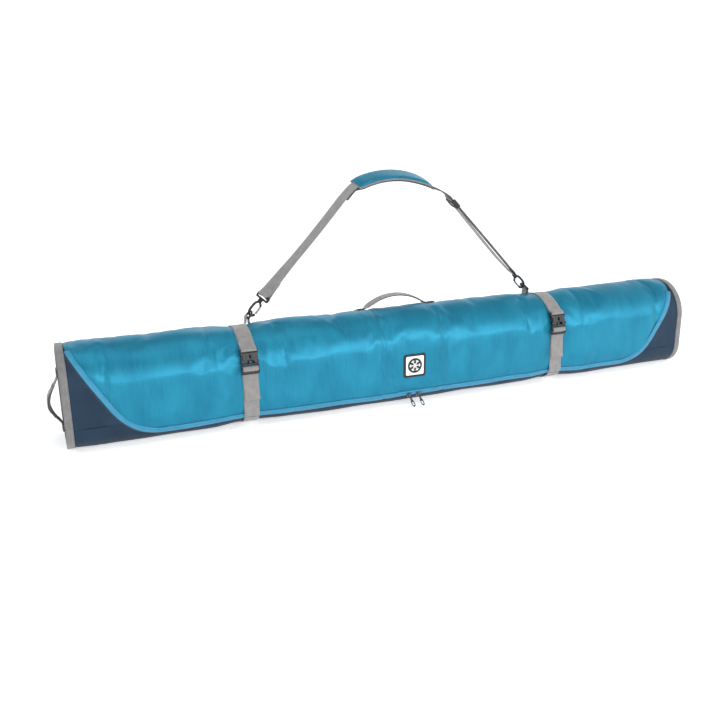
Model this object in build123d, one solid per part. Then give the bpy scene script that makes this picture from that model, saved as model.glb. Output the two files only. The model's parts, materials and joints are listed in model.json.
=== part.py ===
"""A long padded ski bag: a zipped lid on a padded base, with compression straps, a shoulder strap and handles.

The bag lies along X and stands on z = 0. Its front, with the zip and the label, faces -Y. Millimetres.
"""

import os
from math import asin, atan2, cos, degrees, hypot, radians, sin, sqrt, tan

from build123d import *

os.makedirs("parts", exist_ok=True)

# Bag: a round-topped section carried along X
LENGTH = 1720
WIDTH = 186
HEIGHT = 236
BOTTOM_RADIUS = 58
FABRIC = 3
FOAM = 5
LINING = 1
HALF = LENGTH / 2
TOP_RADIUS = WIDTH / 2
CENTRE_Z = HEIGHT - TOP_RADIUS
ABOVE = HEIGHT + 60
FAR = 300

# Zip line on the front: level in the middle, then rising to the top near each end
HINGE_Y = 6
ZIP_Z = 28
ZIP_CORNER = 716
ZIP_RISE = radians(58)
ZIP_RADIUS = 137
LID_GAP = 1.0
ZIP_TAPE = 4.5
EDGE_TAPE = 10
TRIM = 1.2

# Ends
BINDING_WIDE = 17
BINDING_THICK = 1.5
BINDING_LIP = 12
END_PANEL = 7.5

# Panels
SEAM_X = 83
SEAM_Z = 58
YOKE_Z = 212

# Webbing and its recess in the padded sides
WEB = 38
WEB_THICK = 1.6
RECESS = 1.8
SLACK = 0.1
STRAP_X = 432

# Side-release buckle, in a plane laid against the front
BUCKLE_Z = 165
BUCKLE_HALF = 22
BUCKLE_THICK = 11
SOCKET_LONG = 34
PLUG_LONG = 26
PLUG_THICK = 9
MOUTH = 0.4
TAIL_Z = 72

# Label on the front
LABEL_LOW = 74
LABEL_HIGH = 136
LABEL_HEM = 4
LABEL_RISE = (1.2, 1.8)

# Zip sliders
SLIDER_X = 13
SLIDER_WIDE = 11
PULLER_LONG = 38
PULLER_WIDE = 9
PULLER_THICK = 2
PULLER_EYE = 2.6
PULLER_DROP = 20.5
PULLER_PIVOT = (-92.7, 24)
LUG_RADIUS = 2.8

# Accessories stand in one plane just behind the top line
TOP_Y = 32
HANDLE_HALF = 79.5
HANDLE_RISE = 33.5
HANDLE_Z = 240.5
HANDLE_WIDE = 28
HANDLE_THICK = 4
HANDLE_FOOT = 20
HANDLE_FOOT_GAP = 2
END_HANDLE_LOW = 50
END_HANDLE_HIGH = 160
END_HANDLE_OUT = 26
END_HANDLE_RADIUS = 6
END_HANDLE_GAP = 8
END_FOOT_THICK = 2.5
END_HANDLE_BENDS = (5, 16)

# Shoulder strap: a leg from each D-ring up to an arched pad
RING_X = 403
RING_Z = 245
RING_WIRE = 4.6
RING_HALF = 16
RING_TALL = 21
TAB_HALF = 10.5
HOOK_THICK = 6
STEM_RADIUS = 3
FRAME_HALF = 23.5
WINDOW_HALF = 20
LEFT_PAD = (-122, 548)
PAD_APEX = (-10, 575)
RIGHT_PAD = (108, 540)
RIGHT_LEG_TOP = (150, 516)
PAD_WIDE = 58
PAD_THICK = 12
PAD_TAB = 40
WEB_START = 72.3
ADJUSTER_AT = 345
LAYER = 1.9


def section(inset):
    """Cross-section of the bag: a half round top on a box with rounded lower corners, offset inwards."""
    half = WIDTH / 2 - inset
    box = Polyline((-half, CENTRE_Z), (-half, inset), (half, inset), (half, CENTRE_Z))
    crown = ThreePointArc((half, CENTRE_Z), (0, CENTRE_Z + half), (-half, CENTRE_Z))
    face = make_face(box + crown)
    lower = face.vertices().sort_by(Axis.Y)[:2]
    return Plane.YZ * fillet(lower, BOTTOM_RADIUS - inset)


def prism(inset, x0, x1):
    """The section carried along X from x0 to x1."""
    return Pos(x0, 0, 0) * extrude(section(inset), x1 - x0)


def ring(outer, inner, x0, x1):
    """A sleeve between two offsets of the section."""
    return prism(outer, x0, x1) - prism(inner, x0 - 1, x1 + 1)


def block(x0, x1, y0, y1, z0, z1):
    """An upright box between its corners."""
    size = (x1 - x0, y1 - y0, z1 - z0)
    return Pos((x0 + x1) / 2, (y0 + y1) / 2, (z0 + z1) / 2) * Box(*size)


def lid_block(inset):
    """All that lies in front of the hinge and above the zip line, drawn in by an inset."""
    corner = ZIP_CORNER - inset * tan(ZIP_RISE / 2)
    low = ZIP_Z + inset
    top = corner + (ABOVE - low) / tan(ZIP_RISE)
    outline = Polyline((-top, ABOVE), (-corner, low), (corner, low), (top, ABOVE), close=True)
    face = make_face(outline)
    face = fillet(face.vertices().sort_by(Axis.Y)[:2], ZIP_RADIUS - inset)
    return extrude(Plane.XZ.offset(inset - HINGE_Y) * face, FAR)


def strap_recess(side):
    """The shallow trench that a compression strap lies in."""
    wide = WEB / 2 + 1.5
    return ring(-5, RECESS, side * STRAP_X - wide, side * STRAP_X + wide)


def write(name, shape):
    """One STEP file for each sub-part, holding its solids alone."""
    solids = shape.solids()
    export_step(solids[0] if len(solids) == 1 else Compound(solids), f"parts/{name}.step")


LID_END = HALF - BINDING_WIDE - LID_GAP / 2
LID_CUT = lid_block(LID_GAP / 2) & block(-LID_END, LID_END, -FAR, FAR, -FAR, ABOVE)
BASE_CUT = lid_block(-LID_GAP / 2)
SLEEVE = HALF - BINDING_THICK - END_PANEL


def padded_walls():
    """Outer fabric, foam and lining of the base and of the lid, with the fabric cut into its sewn panels."""
    rebate = ring(-5, BINDING_THICK, HALF - BINDING_WIDE, HALF + 5)
    fabric = ring(0, FABRIC, -SLEEVE, SLEEVE)
    fabric = fabric - strap_recess(-1) - strap_recess(1) - rebate - mirror(rebate, about=Plane.YZ)
    base = fabric - BASE_CUT
    write("bottom_panel", base & block(-FAR * 3, FAR * 3, -FAR, FAR, -5, SEAM_Z))
    upper = base - block(-FAR * 3, FAR * 3, -FAR, FAR, -5, SEAM_Z)
    write("back_panel", upper & block(-FAR * 3, FAR * 3, HINGE_Y, FAR, 0, YOKE_Z))
    write("yoke_panel", upper & block(-FAR * 3, FAR * 3, HINGE_Y, FAR, YOKE_Z, FAR))
    write("front_corner_left", upper & block(-FAR * 3, 0, -FAR, HINGE_Y, 0, FAR))
    write("front_corner_right", upper & block(0, FAR * 3, -FAR, HINGE_Y, 0, FAR))
    lid = fabric & LID_CUT
    write("lid_panel_left", lid & block(-FAR * 3, -SEAM_X, -FAR, FAR, 0, FAR))
    write("lid_panel_centre", lid & block(-SEAM_X, SEAM_X, -FAR, FAR, 0, FAR))
    write("lid_panel_right", lid & block(SEAM_X, FAR * 3, -FAR, FAR, 0, FAR))
    foam = ring(FABRIC, FABRIC + FOAM, -SLEEVE, SLEEVE)
    lining = ring(FABRIC + FOAM, FABRIC + FOAM + LINING, -SLEEVE, SLEEVE)
    for name, layer in (("foam", foam), ("lining", lining)):
        write(f"base_{name}", layer - BASE_CUT)
        write(f"lid_{name}", layer & LID_CUT)


def ends():
    """A padded end panel at each end and the binding tape that wraps its edge."""
    panel = prism(BINDING_THICK, SLEEVE, HALF - BINDING_THICK)
    inner = HALF - BINDING_WIDE
    binding = prism(0, inner, HALF)
    binding = binding - prism(BINDING_THICK, inner - 1, HALF - BINDING_THICK)
    binding = binding - prism(BINDING_LIP, HALF - 5, HALF + 5)
    for name, shape in (("end_panel", panel), ("binding", binding)):
        write(f"{name}_right", shape)
        write(f"{name}_left", mirror(shape, about=Plane.YZ))


def zip_tapes():
    """The zip's two halves and the bright tape that edges the lid, each standing a little proud."""
    proud = ring(-TRIM, 0, -SLEEVE + BINDING_WIDE, SLEEVE - BINDING_WIDE)
    for side in (-1, 1):
        gap = BUCKLE_HALF + LID_GAP / 2
        proud = proud - block(side * STRAP_X - gap, side * STRAP_X + gap, -FAR, FAR, -5, FAR)
    tape = lid_block(LID_GAP / 2 + ZIP_TAPE)
    write("lid_zip_tape", (proud & LID_CUT) - tape)
    write("edge_tape", (proud & tape) - lid_block(LID_GAP / 2 + ZIP_TAPE + EDGE_TAPE))
    lower = (proud - BASE_CUT) & lid_block(-LID_GAP / 2 - ZIP_TAPE)
    write("base_zip_tape", lower & block(-FAR * 3, FAR * 3, -FAR, HINGE_Y, 0, FAR))


def buckle_plane(side):
    """Plane of a buckle: origin at the socket's mouth, X across, Y up the strap, Z outwards."""
    lean = asin((BUCKLE_Z - CENTRE_Z) / TOP_RADIUS)
    out = TOP_RADIUS + 0.4
    origin = (side * STRAP_X, -out * cos(lean), CENTRE_Z + out * sin(lean))
    return Plane(origin=origin, x_dir=(1, 0, 0), z_dir=(0, -cos(lean), sin(lean)))


def buckle_socket():
    """Female half: a flat box with an open mouth, side windows and a bar for the webbing."""
    half, long, thick = BUCKLE_HALF, SOCKET_LONG, BUCKLE_THICK
    body = Pos(0, MOUTH, 0) * extrude(Pos(0, long / 2) * RectangleRounded(2 * half, long, 4), thick)
    body = body - block(-half + 4.5, half - 4.5, -1, 24, 2.2, thick - 2.2)
    body = body - block(-half - 1, -half + 6, 8, 20, 2.2, thick - 2.2)
    body = body - block(half - 6, half + 1, 8, 20, 2.2, thick - 2.2)
    body = body - Pos(0, 15, thick - 3) * Cylinder(5, 8)
    return body - block(-19.5, 19.5, 26.5, 30, -1, thick + 1)


def buckle_plug():
    """Male half's base: a frame with two slots, which the lower webbing is threaded through."""
    half, long = BUCKLE_HALF, PLUG_LONG
    outline = Pos(0, long / 2) * RectangleRounded(2 * half, long, 4)
    body = Pos(0, -long - MOUTH, 0) * extrude(outline, PLUG_THICK)
    body = body - block(-12, 12, -12, -4, -1, PLUG_THICK + 1)
    return body - block(-19.5, 19.5, -22, -16, -1, PLUG_THICK + 1)


def buckle_arm():
    """One spring arm, whose latch fills the socket's side window."""
    arm = block(11, 16.8, -MOUTH, 21, 2.8, BUCKLE_THICK - 2.8)
    return arm + block(16, 20.5, 9, 18, 2.8, BUCKLE_THICK - 2.8)


def compression_straps():
    """Two straps round the bag, each parted at the buckle and at the hinge and zip lines."""
    socket, plug, arm = buckle_socket(), buckle_plug(), buckle_arm()
    other_arm = mirror(arm, about=Plane.YZ)
    for side, name in ((-1, "left"), (1, "right")):
        x0, x1 = side * STRAP_X - WEB / 2, side * STRAP_X + WEB / 2
        web = ring(SLACK, SLACK + WEB_THICK, x0, x1)
        write(f"back_strap_{name}", web - block(x0 - 1, x1 + 1, -FAR, HINGE_Y + 0.5, ZIP_Z - 1, FAR))
        write(f"upper_strap_{name}", web & block(x0 - 1, x1 + 1, -FAR, HINGE_Y - 0.5, BUCKLE_Z + 18, FAR))
        write(f"lower_strap_{name}", web & block(x0 - 1, x1 + 1, -FAR, 0, ZIP_Z + 1, BUCKLE_Z - 5))
        tail = ring(-SLACK - WEB_THICK, -SLACK, x0, x1)
        write(f"strap_tail_{name}", tail & block(x0 - 1, x1 + 1, -FAR, 0, TAIL_Z, BUCKLE_Z - PLUG_LONG - 2))
        plane = buckle_plane(side)
        write(f"buckle_socket_{name}", plane * socket)
        write(f"buckle_plug_{name}", plane * plug)
        write(f"buckle_arm_{name}_a", plane * other_arm)
        write(f"buckle_arm_{name}_b", plane * arm)


def label():
    """Square patch on the front, in a sewn border."""
    front = -WIDTH / 2
    half = (LABEL_HIGH - LABEL_LOW) / 2
    low, high = LABEL_RISE
    write("label_border", block(-half, half, front - low, front, LABEL_LOW, LABEL_HIGH))
    half = half - LABEL_HEM
    face = block(-half, half, front - high, front - low, LABEL_LOW + LABEL_HEM, LABEL_HIGH - LABEL_HEM)
    write("label_face", face)


def zip_sliders():
    """Two sliders that meet in the middle, each with a puller on a lug."""
    pivot_y, pivot_z = PULLER_PIVOT
    drop = atan2(PULLER_DROP, sqrt(PULLER_LONG**2 - PULLER_DROP**2))
    lug = Pos(0, pivot_y, pivot_z) * Rot(0, 90, 0) * Cylinder(LUG_RADIUS, 4)
    for side, name in ((-1, "left"), (1, "right")):
        half = SLIDER_WIDE / 2
        body = ring(-5.2, -TRIM - 0.3, -half, half) & block(-half, half, -FAR, 0, 14, ZIP_Z - 0.9)
        web = block(-2, 2, pivot_y, pivot_y + 8, pivot_z - 2.4, pivot_z + 2.4) - prism(-5.0, -9, 9)
        write(f"zip_slider_{name}", Pos(side * SLIDER_X, 0, 0) * (body + web + lug))
        plate = block(-PULLER_WIDE / 2, PULLER_WIDE / 2, -PULLER_LONG, 0, -PULLER_THICK / 2, PULLER_THICK / 2)
        eye = Rot(0, 90, 0) * Cylinder(PULLER_EYE, PULLER_WIDE)
        slot = block(-2.3, 2.3, -3.6, 4, -4, 4)
        hole = Pos(0, -PULLER_LONG + 8, 0) * SlotOverall(9, 5, rotation=90)
        plate = plate + eye - slot - extrude(hole, 3, both=True)
        swing = Pos(side * SLIDER_X, pivot_y, pivot_z) * Rot(degrees(drop), 0, 0)
        write(f"zip_puller_{name}", swing * plate)


def handles():
    """The grab handle on top and the carrying loop on the left end, with the feet they are sewn to."""
    path = ThreePointArc((-HANDLE_HALF, HANDLE_Z), (0, HANDLE_Z + HANDLE_RISE), (HANDLE_HALF, HANDLE_Z))
    path = Plane.XZ.offset(-TOP_Y) * path
    start = Plane(origin=path @ 0, x_dir=(0, 1, 0), z_dir=path % 0)
    write("top_handle", sweep(start * Rectangle(HANDLE_WIDE, HANDLE_THICK), path=path))
    half = HANDLE_WIDE / 2
    x0 = HANDLE_HALF + HANDLE_FOOT_GAP
    foot = block(x0, x0 + HANDLE_FOOT, TOP_Y - half, TOP_Y + half, YOKE_Z, HANDLE_Z - 1.5)
    foot = foot - prism(0, 0, FAR)
    write("top_handle_feet", foot + mirror(foot, about=Plane.YZ))

    near, far = -HALF - END_HANDLE_GAP, -HALF - END_HANDLE_OUT
    low, high = END_HANDLE_LOW, END_HANDLE_HIGH
    points = [(near, low), (near - 4, low), (far, low + 20), (far, high - 20), (near - 4, high), (near, high)]
    tight, wide = END_HANDLE_BENDS
    path = Plane.XZ * FilletPolyline(*points, radius=[tight, wide, wide, tight])
    start = Plane(origin=path @ 0, z_dir=path % 0)
    write("end_handle", sweep(start * Circle(END_HANDLE_RADIUS), path=path))
    foot = -HALF - END_FOOT_THICK
    feet = [block(foot, -HALF, -9, 9, z - 9, z + 9) for z in (low, high)]
    write("end_handle_feet", feet[0] + feet[1])


def leg_plane(side, top):
    """Plane of a leg: origin at the D-ring's bar, X along world Y, Z up the leg."""
    across, up = top[0] - side * RING_X, top[1] - RING_Z
    return Plane(origin=(side * RING_X, TOP_Y, RING_Z), x_dir=(0, 1, 0), z_dir=(across, 0, up))


def d_ring():
    """Flat D-ring: its bar lies in the sewn tab, its bow takes the hook."""
    half, tall, bend = RING_HALF, RING_TALL, 5
    outer = Polyline((-half, bend), (-half, -2.6), (half, -2.6), (half, bend))
    outer = outer + ThreePointArc((half, bend), (0, tall), (-half, bend))
    half, tall = half - 4.5, tall - RING_WIRE
    inner = Polyline((-half, bend), (-half, 2.4), (half, 2.4), (half, bend))
    inner = inner + ThreePointArc((half, bend), (0, tall), (-half, bend))
    face = make_face(outer) - make_face(inner)
    return extrude(Plane.XZ * face, RING_WIRE / 2, both=True)


def d_ring_tab():
    """Webbing folded round the D-ring's bar and sewn to the yoke."""
    eye = RING_WIRE / 2 + 1.5
    out = eye + WEB_THICK
    near, far = TOP_Y - TAB_HALF, TOP_Y + TAB_HALF
    tab = block(-out, out, near, far, YOKE_Z, RING_Z + out)
    tab = tab - block(-eye, eye, near - 1, far + 1, RING_Z - eye, RING_Z + eye)
    foot = block(-14, 14, near, far, YOKE_Z, ABOVE) & ring(-TRIM, 0, -15, 15)
    return Pos(RING_X, 0, 0) * (tab - prism(0, -9, 9) + foot)


def snap_hook():
    """Snap hook: a crown, a spine and a stem that turns in the loop frame."""
    outer = Pos(2, 28.25) * SlotOverall(39.5, 22, rotation=90)
    hole = Pos(2.75, 27) * SlotOverall(28, 13.5, rotation=90)
    face = outer - hole - Pos(12, 30.5) * Rectangle(6, 22)
    body = extrude(Plane.YZ * face, HOOK_THICK / 2, both=True)
    stem = Pos(0, 0, 53) * Cylinder(STEM_RADIUS, 14)
    head = Pos(0, 0, 59.4) * Cylinder(4.6, 2)
    return body + stem + head


def hook_gate():
    """Sprung gate that closes the hook's mouth, hinged at its upper end."""
    return block(-2.4, 2.4, 10, 12.8, 20, 41)


def loop_frame():
    """Frame that the webbing is looped through, with a barrel that the hook's stem turns in."""
    frame = block(-FRAME_HALF, FRAME_HALF, -3, 3, 55, 72)
    frame = frame - block(-WINDOW_HALF, WINDOW_HALF, -4, 4, 58, 68.5)
    barrel = Pos(0, 0, 53.5) * Cylinder(2 * STEM_RADIUS, 7.6)
    return frame + barrel - Pos(0, 0, 53) * Cylinder(STEM_RADIUS + 0.06, 20)


def adjuster():
    """Three-bar slide: its middle bar runs between the two layers of webbing."""
    frame = block(-FRAME_HALF, FRAME_HALF, -6.4, 4.2, -14, 14)
    frame = frame - block(-WINDOW_HALF, WINDOW_HALF, -3.9, 5, -15, 15)
    frame = frame - block(-WINDOW_HALF, WINDOW_HALF, -7, 5, -9.5, 9.5)
    return frame + block(-WINDOW_HALF - 1, WINDOW_HALF + 1, -LAYER + 0.3, LAYER - 0.3, -4, 4)


def shoulder_strap():
    """D-rings, hooks, frames and webbing legs, with the arched pad between them.

    Both hooks' mouths face the middle of the strap."""
    left = leg_plane(-1, LEFT_PAD)
    right = leg_plane(1, RIGHT_LEG_TOP)
    turn = Rot(0, 0, 180)
    pieces = {"d_ring": d_ring(), "loop_frame": loop_frame()}
    pieces |= {"snap_hook": snap_hook(), "hook_gate": hook_gate()}
    for name, shape in pieces.items():
        write(f"{name}_left", left * (turn * shape))
        write(f"{name}_right", right * shape)
    span_left = hypot(LEFT_PAD[0] + RING_X, LEFT_PAD[1] - RING_Z)
    write("leg_web_left", left * block(-WEB / 2, WEB / 2, -0.8, 0.8, WEB_START, span_left - 6))
    span = hypot(RIGHT_LEG_TOP[0] - RING_X, RIGHT_LEG_TOP[1] - RING_Z)
    layer = block(-WEB / 2, WEB / 2, LAYER, LAYER + WEB_THICK, WEB_START, span)
    write("leg_web_right", right * layer)
    write("leg_web_return", right * mirror(layer, about=Plane.XZ))
    write("web_adjuster", right * (Pos(0, 0, ADJUSTER_AT) * adjuster()))
    tab = d_ring_tab()
    write("d_ring_tabs", tab + mirror(tab, about=Plane.YZ))
    path = ThreePointArc(LEFT_PAD, PAD_APEX, RIGHT_PAD)
    path = Plane.XZ.offset(-TOP_Y) * path
    start = Plane(origin=path @ 0, x_dir=(0, 1, 0), z_dir=path % 0)
    write("shoulder_pad", sweep(start * Rectangle(PAD_WIDE, PAD_THICK), path=path))
    join = Plane.XZ.offset(-TOP_Y) * Line(RIGHT_PAD, RIGHT_LEG_TOP)
    start = Plane(origin=join @ 0.03, x_dir=(0, 1, 0), z_dir=join % 0)
    run = (join @ 0.97 - join @ 0.03).length
    left_tab = left * block(-PAD_TAB / 2, PAD_TAB / 2, 1, 3, span_left - 34, span_left - 6)
    write("pad_end_tabs", extrude(start * Rectangle(PAD_TAB, 5), run) + left_tab)


padded_walls()
ends()
zip_tapes()
compression_straps()
label()
zip_sliders()
handles()
shoulder_strap()
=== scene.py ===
# %% [markdown]
# # A padded ski bag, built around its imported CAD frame
# The frame holds the true sizes, the joints and every hard part's place. This lesson dresses it: soft
# covers that hug one shared section, webbing laid along paths, moulded buckles and metal fittings.
# Everything is in metres, with X along the bag, -Y to the front and Z up.

# %% Load the frame
import json
import math

import bmesh
import bpy
import numpy as np
from mathutils import Matrix, Vector


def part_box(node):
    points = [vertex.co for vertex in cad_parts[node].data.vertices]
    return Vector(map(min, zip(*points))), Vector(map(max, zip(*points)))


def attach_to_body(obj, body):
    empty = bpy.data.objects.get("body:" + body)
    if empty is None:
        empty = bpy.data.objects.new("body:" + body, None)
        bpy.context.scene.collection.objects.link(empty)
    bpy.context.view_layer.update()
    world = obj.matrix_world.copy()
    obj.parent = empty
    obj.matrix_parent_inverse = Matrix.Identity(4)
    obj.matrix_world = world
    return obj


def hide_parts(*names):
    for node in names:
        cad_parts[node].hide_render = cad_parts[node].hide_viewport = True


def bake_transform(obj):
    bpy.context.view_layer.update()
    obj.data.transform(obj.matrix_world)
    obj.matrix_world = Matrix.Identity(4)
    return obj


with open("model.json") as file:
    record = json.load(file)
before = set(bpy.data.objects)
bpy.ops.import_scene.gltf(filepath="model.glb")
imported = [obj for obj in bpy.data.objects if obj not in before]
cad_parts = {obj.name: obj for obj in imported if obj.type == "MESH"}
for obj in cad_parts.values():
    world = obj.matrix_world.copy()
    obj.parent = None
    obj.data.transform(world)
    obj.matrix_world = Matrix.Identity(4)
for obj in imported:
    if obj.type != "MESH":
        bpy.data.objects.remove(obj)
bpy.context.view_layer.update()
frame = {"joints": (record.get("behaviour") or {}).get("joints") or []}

JOINTS = {joint["name"]: joint for joint in frame["joints"]}
MM = 0.001

# %% [markdown]
# ## Driving sizes
# A piece should follow the frame, so sizes are read from its nodes and joints. Only what a box can't
# tell, such as the radius of a rounded edge, is given here as a number.

# %% Sizes read from the frame
END_LOW, END_HIGH = (np.array(corner, float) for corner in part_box("binding_right"))
HALF = END_HIGH[0]
BAND = END_HIGH[0] - END_LOW[0]
TALL = END_HIGH[2]
ROUND = (END_HIGH[1] - END_LOW[1]) / 2
CENTRE_Z = TALL - ROUND
HEEL = 58 * MM
FLAT = ROUND - HEEL
STRAP_LOW, STRAP_HIGH = (np.array(corner, float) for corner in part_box("back_strap_right"))
STRAP_X = (STRAP_LOW[0] + STRAP_HIGH[0]) / 2
WEB = STRAP_HIGH[0] - STRAP_LOW[0]
WEB_THICK = 1.7 * MM
SEAM_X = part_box("lid_panel_centre")[1][0]
ZIP_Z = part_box("lid_panel_centre")[0][2]
TOP_Y = float(np.mean([c[1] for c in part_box("top_handle")]))
print("half length", HALF, "round", ROUND, "strap at", STRAP_X, "zip at", ZIP_Z)

# %% [markdown]
# ## The section, unrolled
# Every soft piece lies on one surface, so it is easiest to think of the bag as unrolled: x runs along
# it, and s is the distance round the section from the top line, positive down the front. The section is
# a quarter circle, a straight side, a smaller quarter circle and half of the flat bottom, each way.

# %% Point and normal of the section
ARC = ROUND * math.pi / 2
SIDE = CENTRE_Z - HEEL
HEEL_ARC = HEEL * math.pi / 2
GIRTH = 2 * (ARC + SIDE + HEEL_ARC + FLAT)


def section(s):
    """y, z and the outward normal at s. On the crown the angle is s / ROUND; on the heel it is the
    distance past the side / HEEL; s wraps round the girth."""
    s = (np.asarray(s, float) + GIRTH / 2) % GIRTH - GIRTH / 2
    front = np.where(s >= 0, -1.0, 1.0)
    d = np.abs(s)
    crown = np.minimum(d, ARC) / ROUND
    down = np.clip(d - ARC, 0, SIDE)
    heel = np.clip(d - ARC - SIDE, 0, HEEL_ARC) / HEEL
    under = np.clip(d - ARC - SIDE - HEEL_ARC, 0, FLAT)
    on_crown = d < ARC
    y = np.where(on_crown, ROUND * np.sin(crown), FLAT + HEEL * np.cos(heel) - under)
    z = np.where(on_crown, CENTRE_Z + ROUND * np.cos(crown), CENTRE_Z - down - HEEL * np.sin(heel))
    ny = np.where(on_crown, np.sin(crown), np.cos(heel))
    nz = np.where(on_crown, np.cos(crown), -np.sin(heel))
    return y * front, z, ny * front, nz


def smooth(t):
    """The smoothstep 3t^2 - 2t^3 of t held between 0 and 1."""
    t = np.clip(t, 0, 1)
    return t * t * (3 - 2 * t)


print("the section is", round(GIRTH, 4), "m round")

# %% [markdown]
# ## Relief: where the padding swells and where the straps bite
# A real padded bag isn't a prism. The straps pull a flat trench, the foam puffs between them, the two
# centre seams dent it, and long slack waves run along it. All of that is one smooth function of x and s,
# so that tapes, labels and straps can follow it too.

# %% Relief and the surface
TRENCH = 3.2 * MM
LABEL_S = ARC + CENTRE_Z - float(np.mean([c[2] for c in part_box("label_face")]))


def relief(x, s):
    """How far the skin stands out from the plain section, in metres: minus a flat trench with smooth
    sides at each strap, plus a low swell between, minus a narrow dent at each seam, plus slack waves."""
    x, s = np.broadcast_arrays(np.asarray(x, float), np.asarray(s, float))
    near = np.abs(np.abs(x) - STRAP_X)
    bite = 1 - smooth((near - 22 * MM) / (60 * MM))
    swell = 1.6 * MM * smooth((near - 30 * MM) / (120 * MM)) * smooth((HALF - np.abs(x)) / (90 * MM))
    seam = np.exp(-(((np.abs(x) - SEAM_X) / (5 * MM)) ** 2)) * (s > -68 * MM) * (s < 340 * MM)
    wave = np.sin(11 * x + 9 * s) + 0.7 * np.sin(23 * x - 14 * s + 1.3)
    wave = wave + 0.5 * np.sin(41 * x + 21 * s + 0.4)
    label = smooth((np.hypot(x, s - LABEL_S) - 45 * MM) / (60 * MM))
    calm = (1 - bite) * smooth((HALF - np.abs(x)) / (60 * MM)) * label
    return -TRENCH * bite + swell - 1.3 * MM * seam + 0.9 * MM * wave * calm


def hug(x, s, lift=0.0):
    """Points on the bag at x and s, pushed out along the section's normal by relief plus lift, and never
    below the floor."""
    y, z, ny, nz = section(s)
    out = relief(x, s) + lift
    z = np.maximum(z + nz * out, 0.4 * MM)
    return np.stack(np.broadcast_arrays(x, y + ny * out, z), -1)


print("relief at a strap and between them, mm:", np.round(relief([STRAP_X, 0], 0.1) / MM, 2))

# %% [markdown]
# ## From grids to meshes
# A surface made with numpy is a grid of points. One helper joins neighbouring points with quads, closes
# it round where it should be closed, and turns the faces outwards by the sign of the enclosed volume.

# %% Mesh helpers
def signed_volume(points, faces):
    """Sum over the faces' triangle fans of a . (b x c) / 6, which is negative on a mesh inside out."""
    total = 0.0
    for size in {len(face) for face in faces}:
        corners = points[np.array([face for face in faces if len(face) == size])]
        for k in range(1, size - 1):
            cross = np.cross(corners[:, k], corners[:, k + 1])
            total += float((corners[:, 0] * cross).sum()) / 6
    return total


def build(name, points, faces, material, uv=None, flat=False):
    """A mesh object from points and faces, turned outwards, with a UV in metres if one is given."""
    points = np.asarray(points, float).reshape(-1, 3)
    if signed_volume(points, faces) < 0:
        faces = [face[::-1] for face in faces]
    mesh = bpy.data.meshes.new(name)
    mesh.from_pydata(points.tolist(), [], faces)
    if uv is not None:
        layer = mesh.uv_layers.new(name="cloth")
        corner = np.zeros(len(mesh.loops), int)
        mesh.loops.foreach_get("vertex_index", corner)
        layer.data.foreach_set("uv", np.asarray(uv, float).reshape(-1, 2)[corner].ravel())
    mesh.polygons.foreach_set("use_smooth", np.full(len(mesh.polygons), not flat))
    mesh.materials.append(material)
    mesh.update()
    piece = bpy.data.objects.new(name, mesh)
    bpy.context.scene.collection.objects.link(piece)
    return piece


def grid_faces(rows, cols, wrap_rows=False, wrap_cols=False):
    """Quads between neighbours of a rows by cols grid, counted row by row."""
    index = np.arange(rows * cols).reshape(rows, cols)
    if wrap_rows:
        index = np.vstack([index, index[:1]])
    if wrap_cols:
        index = np.hstack([index, index[:, :1]])
    quads = np.stack([index[:-1, :-1], index[1:, :-1], index[1:, 1:], index[:-1, 1:]], -1)
    return quads.reshape(-1, 4).tolist()


def carry(name, loops, material, uv=None, closed=False):
    """A closed skin through loops of an even number of points; each end is closed by a ladder of quads
    between the loop's first half and its second."""
    rows, cols = loops.shape[:2]
    faces = grid_faces(rows, cols, wrap_rows=closed, wrap_cols=True)
    if not closed:
        for first, turn in ((0, 1), ((rows - 1) * cols, -1)):
            rungs = [[first + k, first + k + 1, first + cols - 2 - k, first + cols - 1 - k]
                     for k in range(cols // 2 - 1)]
            faces += [rung[::turn] for rung in rungs]
    return build(name, loops, faces, material, uv)


print("a 3 by 4 grid has", len(grid_faces(3, 4)), "quads, and", len(grid_faces(3, 4, True, True)),
      "if it wraps")

# %% [markdown]
# ## A smooth way through a few points
# Webbing, rings and hooks are a profile carried along a path. The path passes through a few chosen
# points on a Catmull-Rom curve, and the profile is turned with the path so that it doesn't twist.

# %% Paths
def smooth_path(points, step=2.0 * MM, closed=False):
    """Catmull-Rom curve through the points: between b and c, half of (2b + (c-a)t + (2a-5b+4c-d)t^2 +
    (3b-a-3c+d)t^3), then evened out to equal steps."""
    points = np.asarray(points, float)
    if closed:
        ring = np.vstack([points[-1:], points, points[:2]])
    else:
        ring = np.vstack([2 * points[0] - points[1], points, 2 * points[-1] - points[-2]])
    a, b, c, d = ring[:-3, None], ring[1:-2, None], ring[2:-1, None], ring[3:, None]
    t = np.linspace(0, 1, 24, endpoint=False)[None, :, None]
    cubic = 2 * b + (c - a) * t + (2 * a - 5 * b + 4 * c - d) * t**2 + (3 * b - a - 3 * c + d) * t**3
    dense = (0.5 * cubic).reshape(-1, points.shape[1])
    dense = np.vstack([dense, dense[:1] if closed else points[-1:]])
    length = np.concatenate([[0], np.cumsum(np.linalg.norm(np.diff(dense, axis=0), axis=1))])
    count = max(4, int(round(length[-1] / step)) + 1)
    at = np.linspace(0, length[-1], count)[: -1 if closed else None]
    return np.stack([np.interp(at, length, dense[:, k]) for k in range(points.shape[1])], -1)


def tangents(path, closed=False):
    """Unit directions by central differences."""
    if closed:
        step = np.roll(path, -1, 0) - np.roll(path, 1, 0)
    else:
        step = np.gradient(path, axis=0)
    return step / np.linalg.norm(step, axis=1, keepdims=True)


def along(path):
    """Distance from the start at each point of a path."""
    return np.concatenate([[0], np.cumsum(np.linalg.norm(np.diff(path, axis=0), axis=1))])


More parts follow.
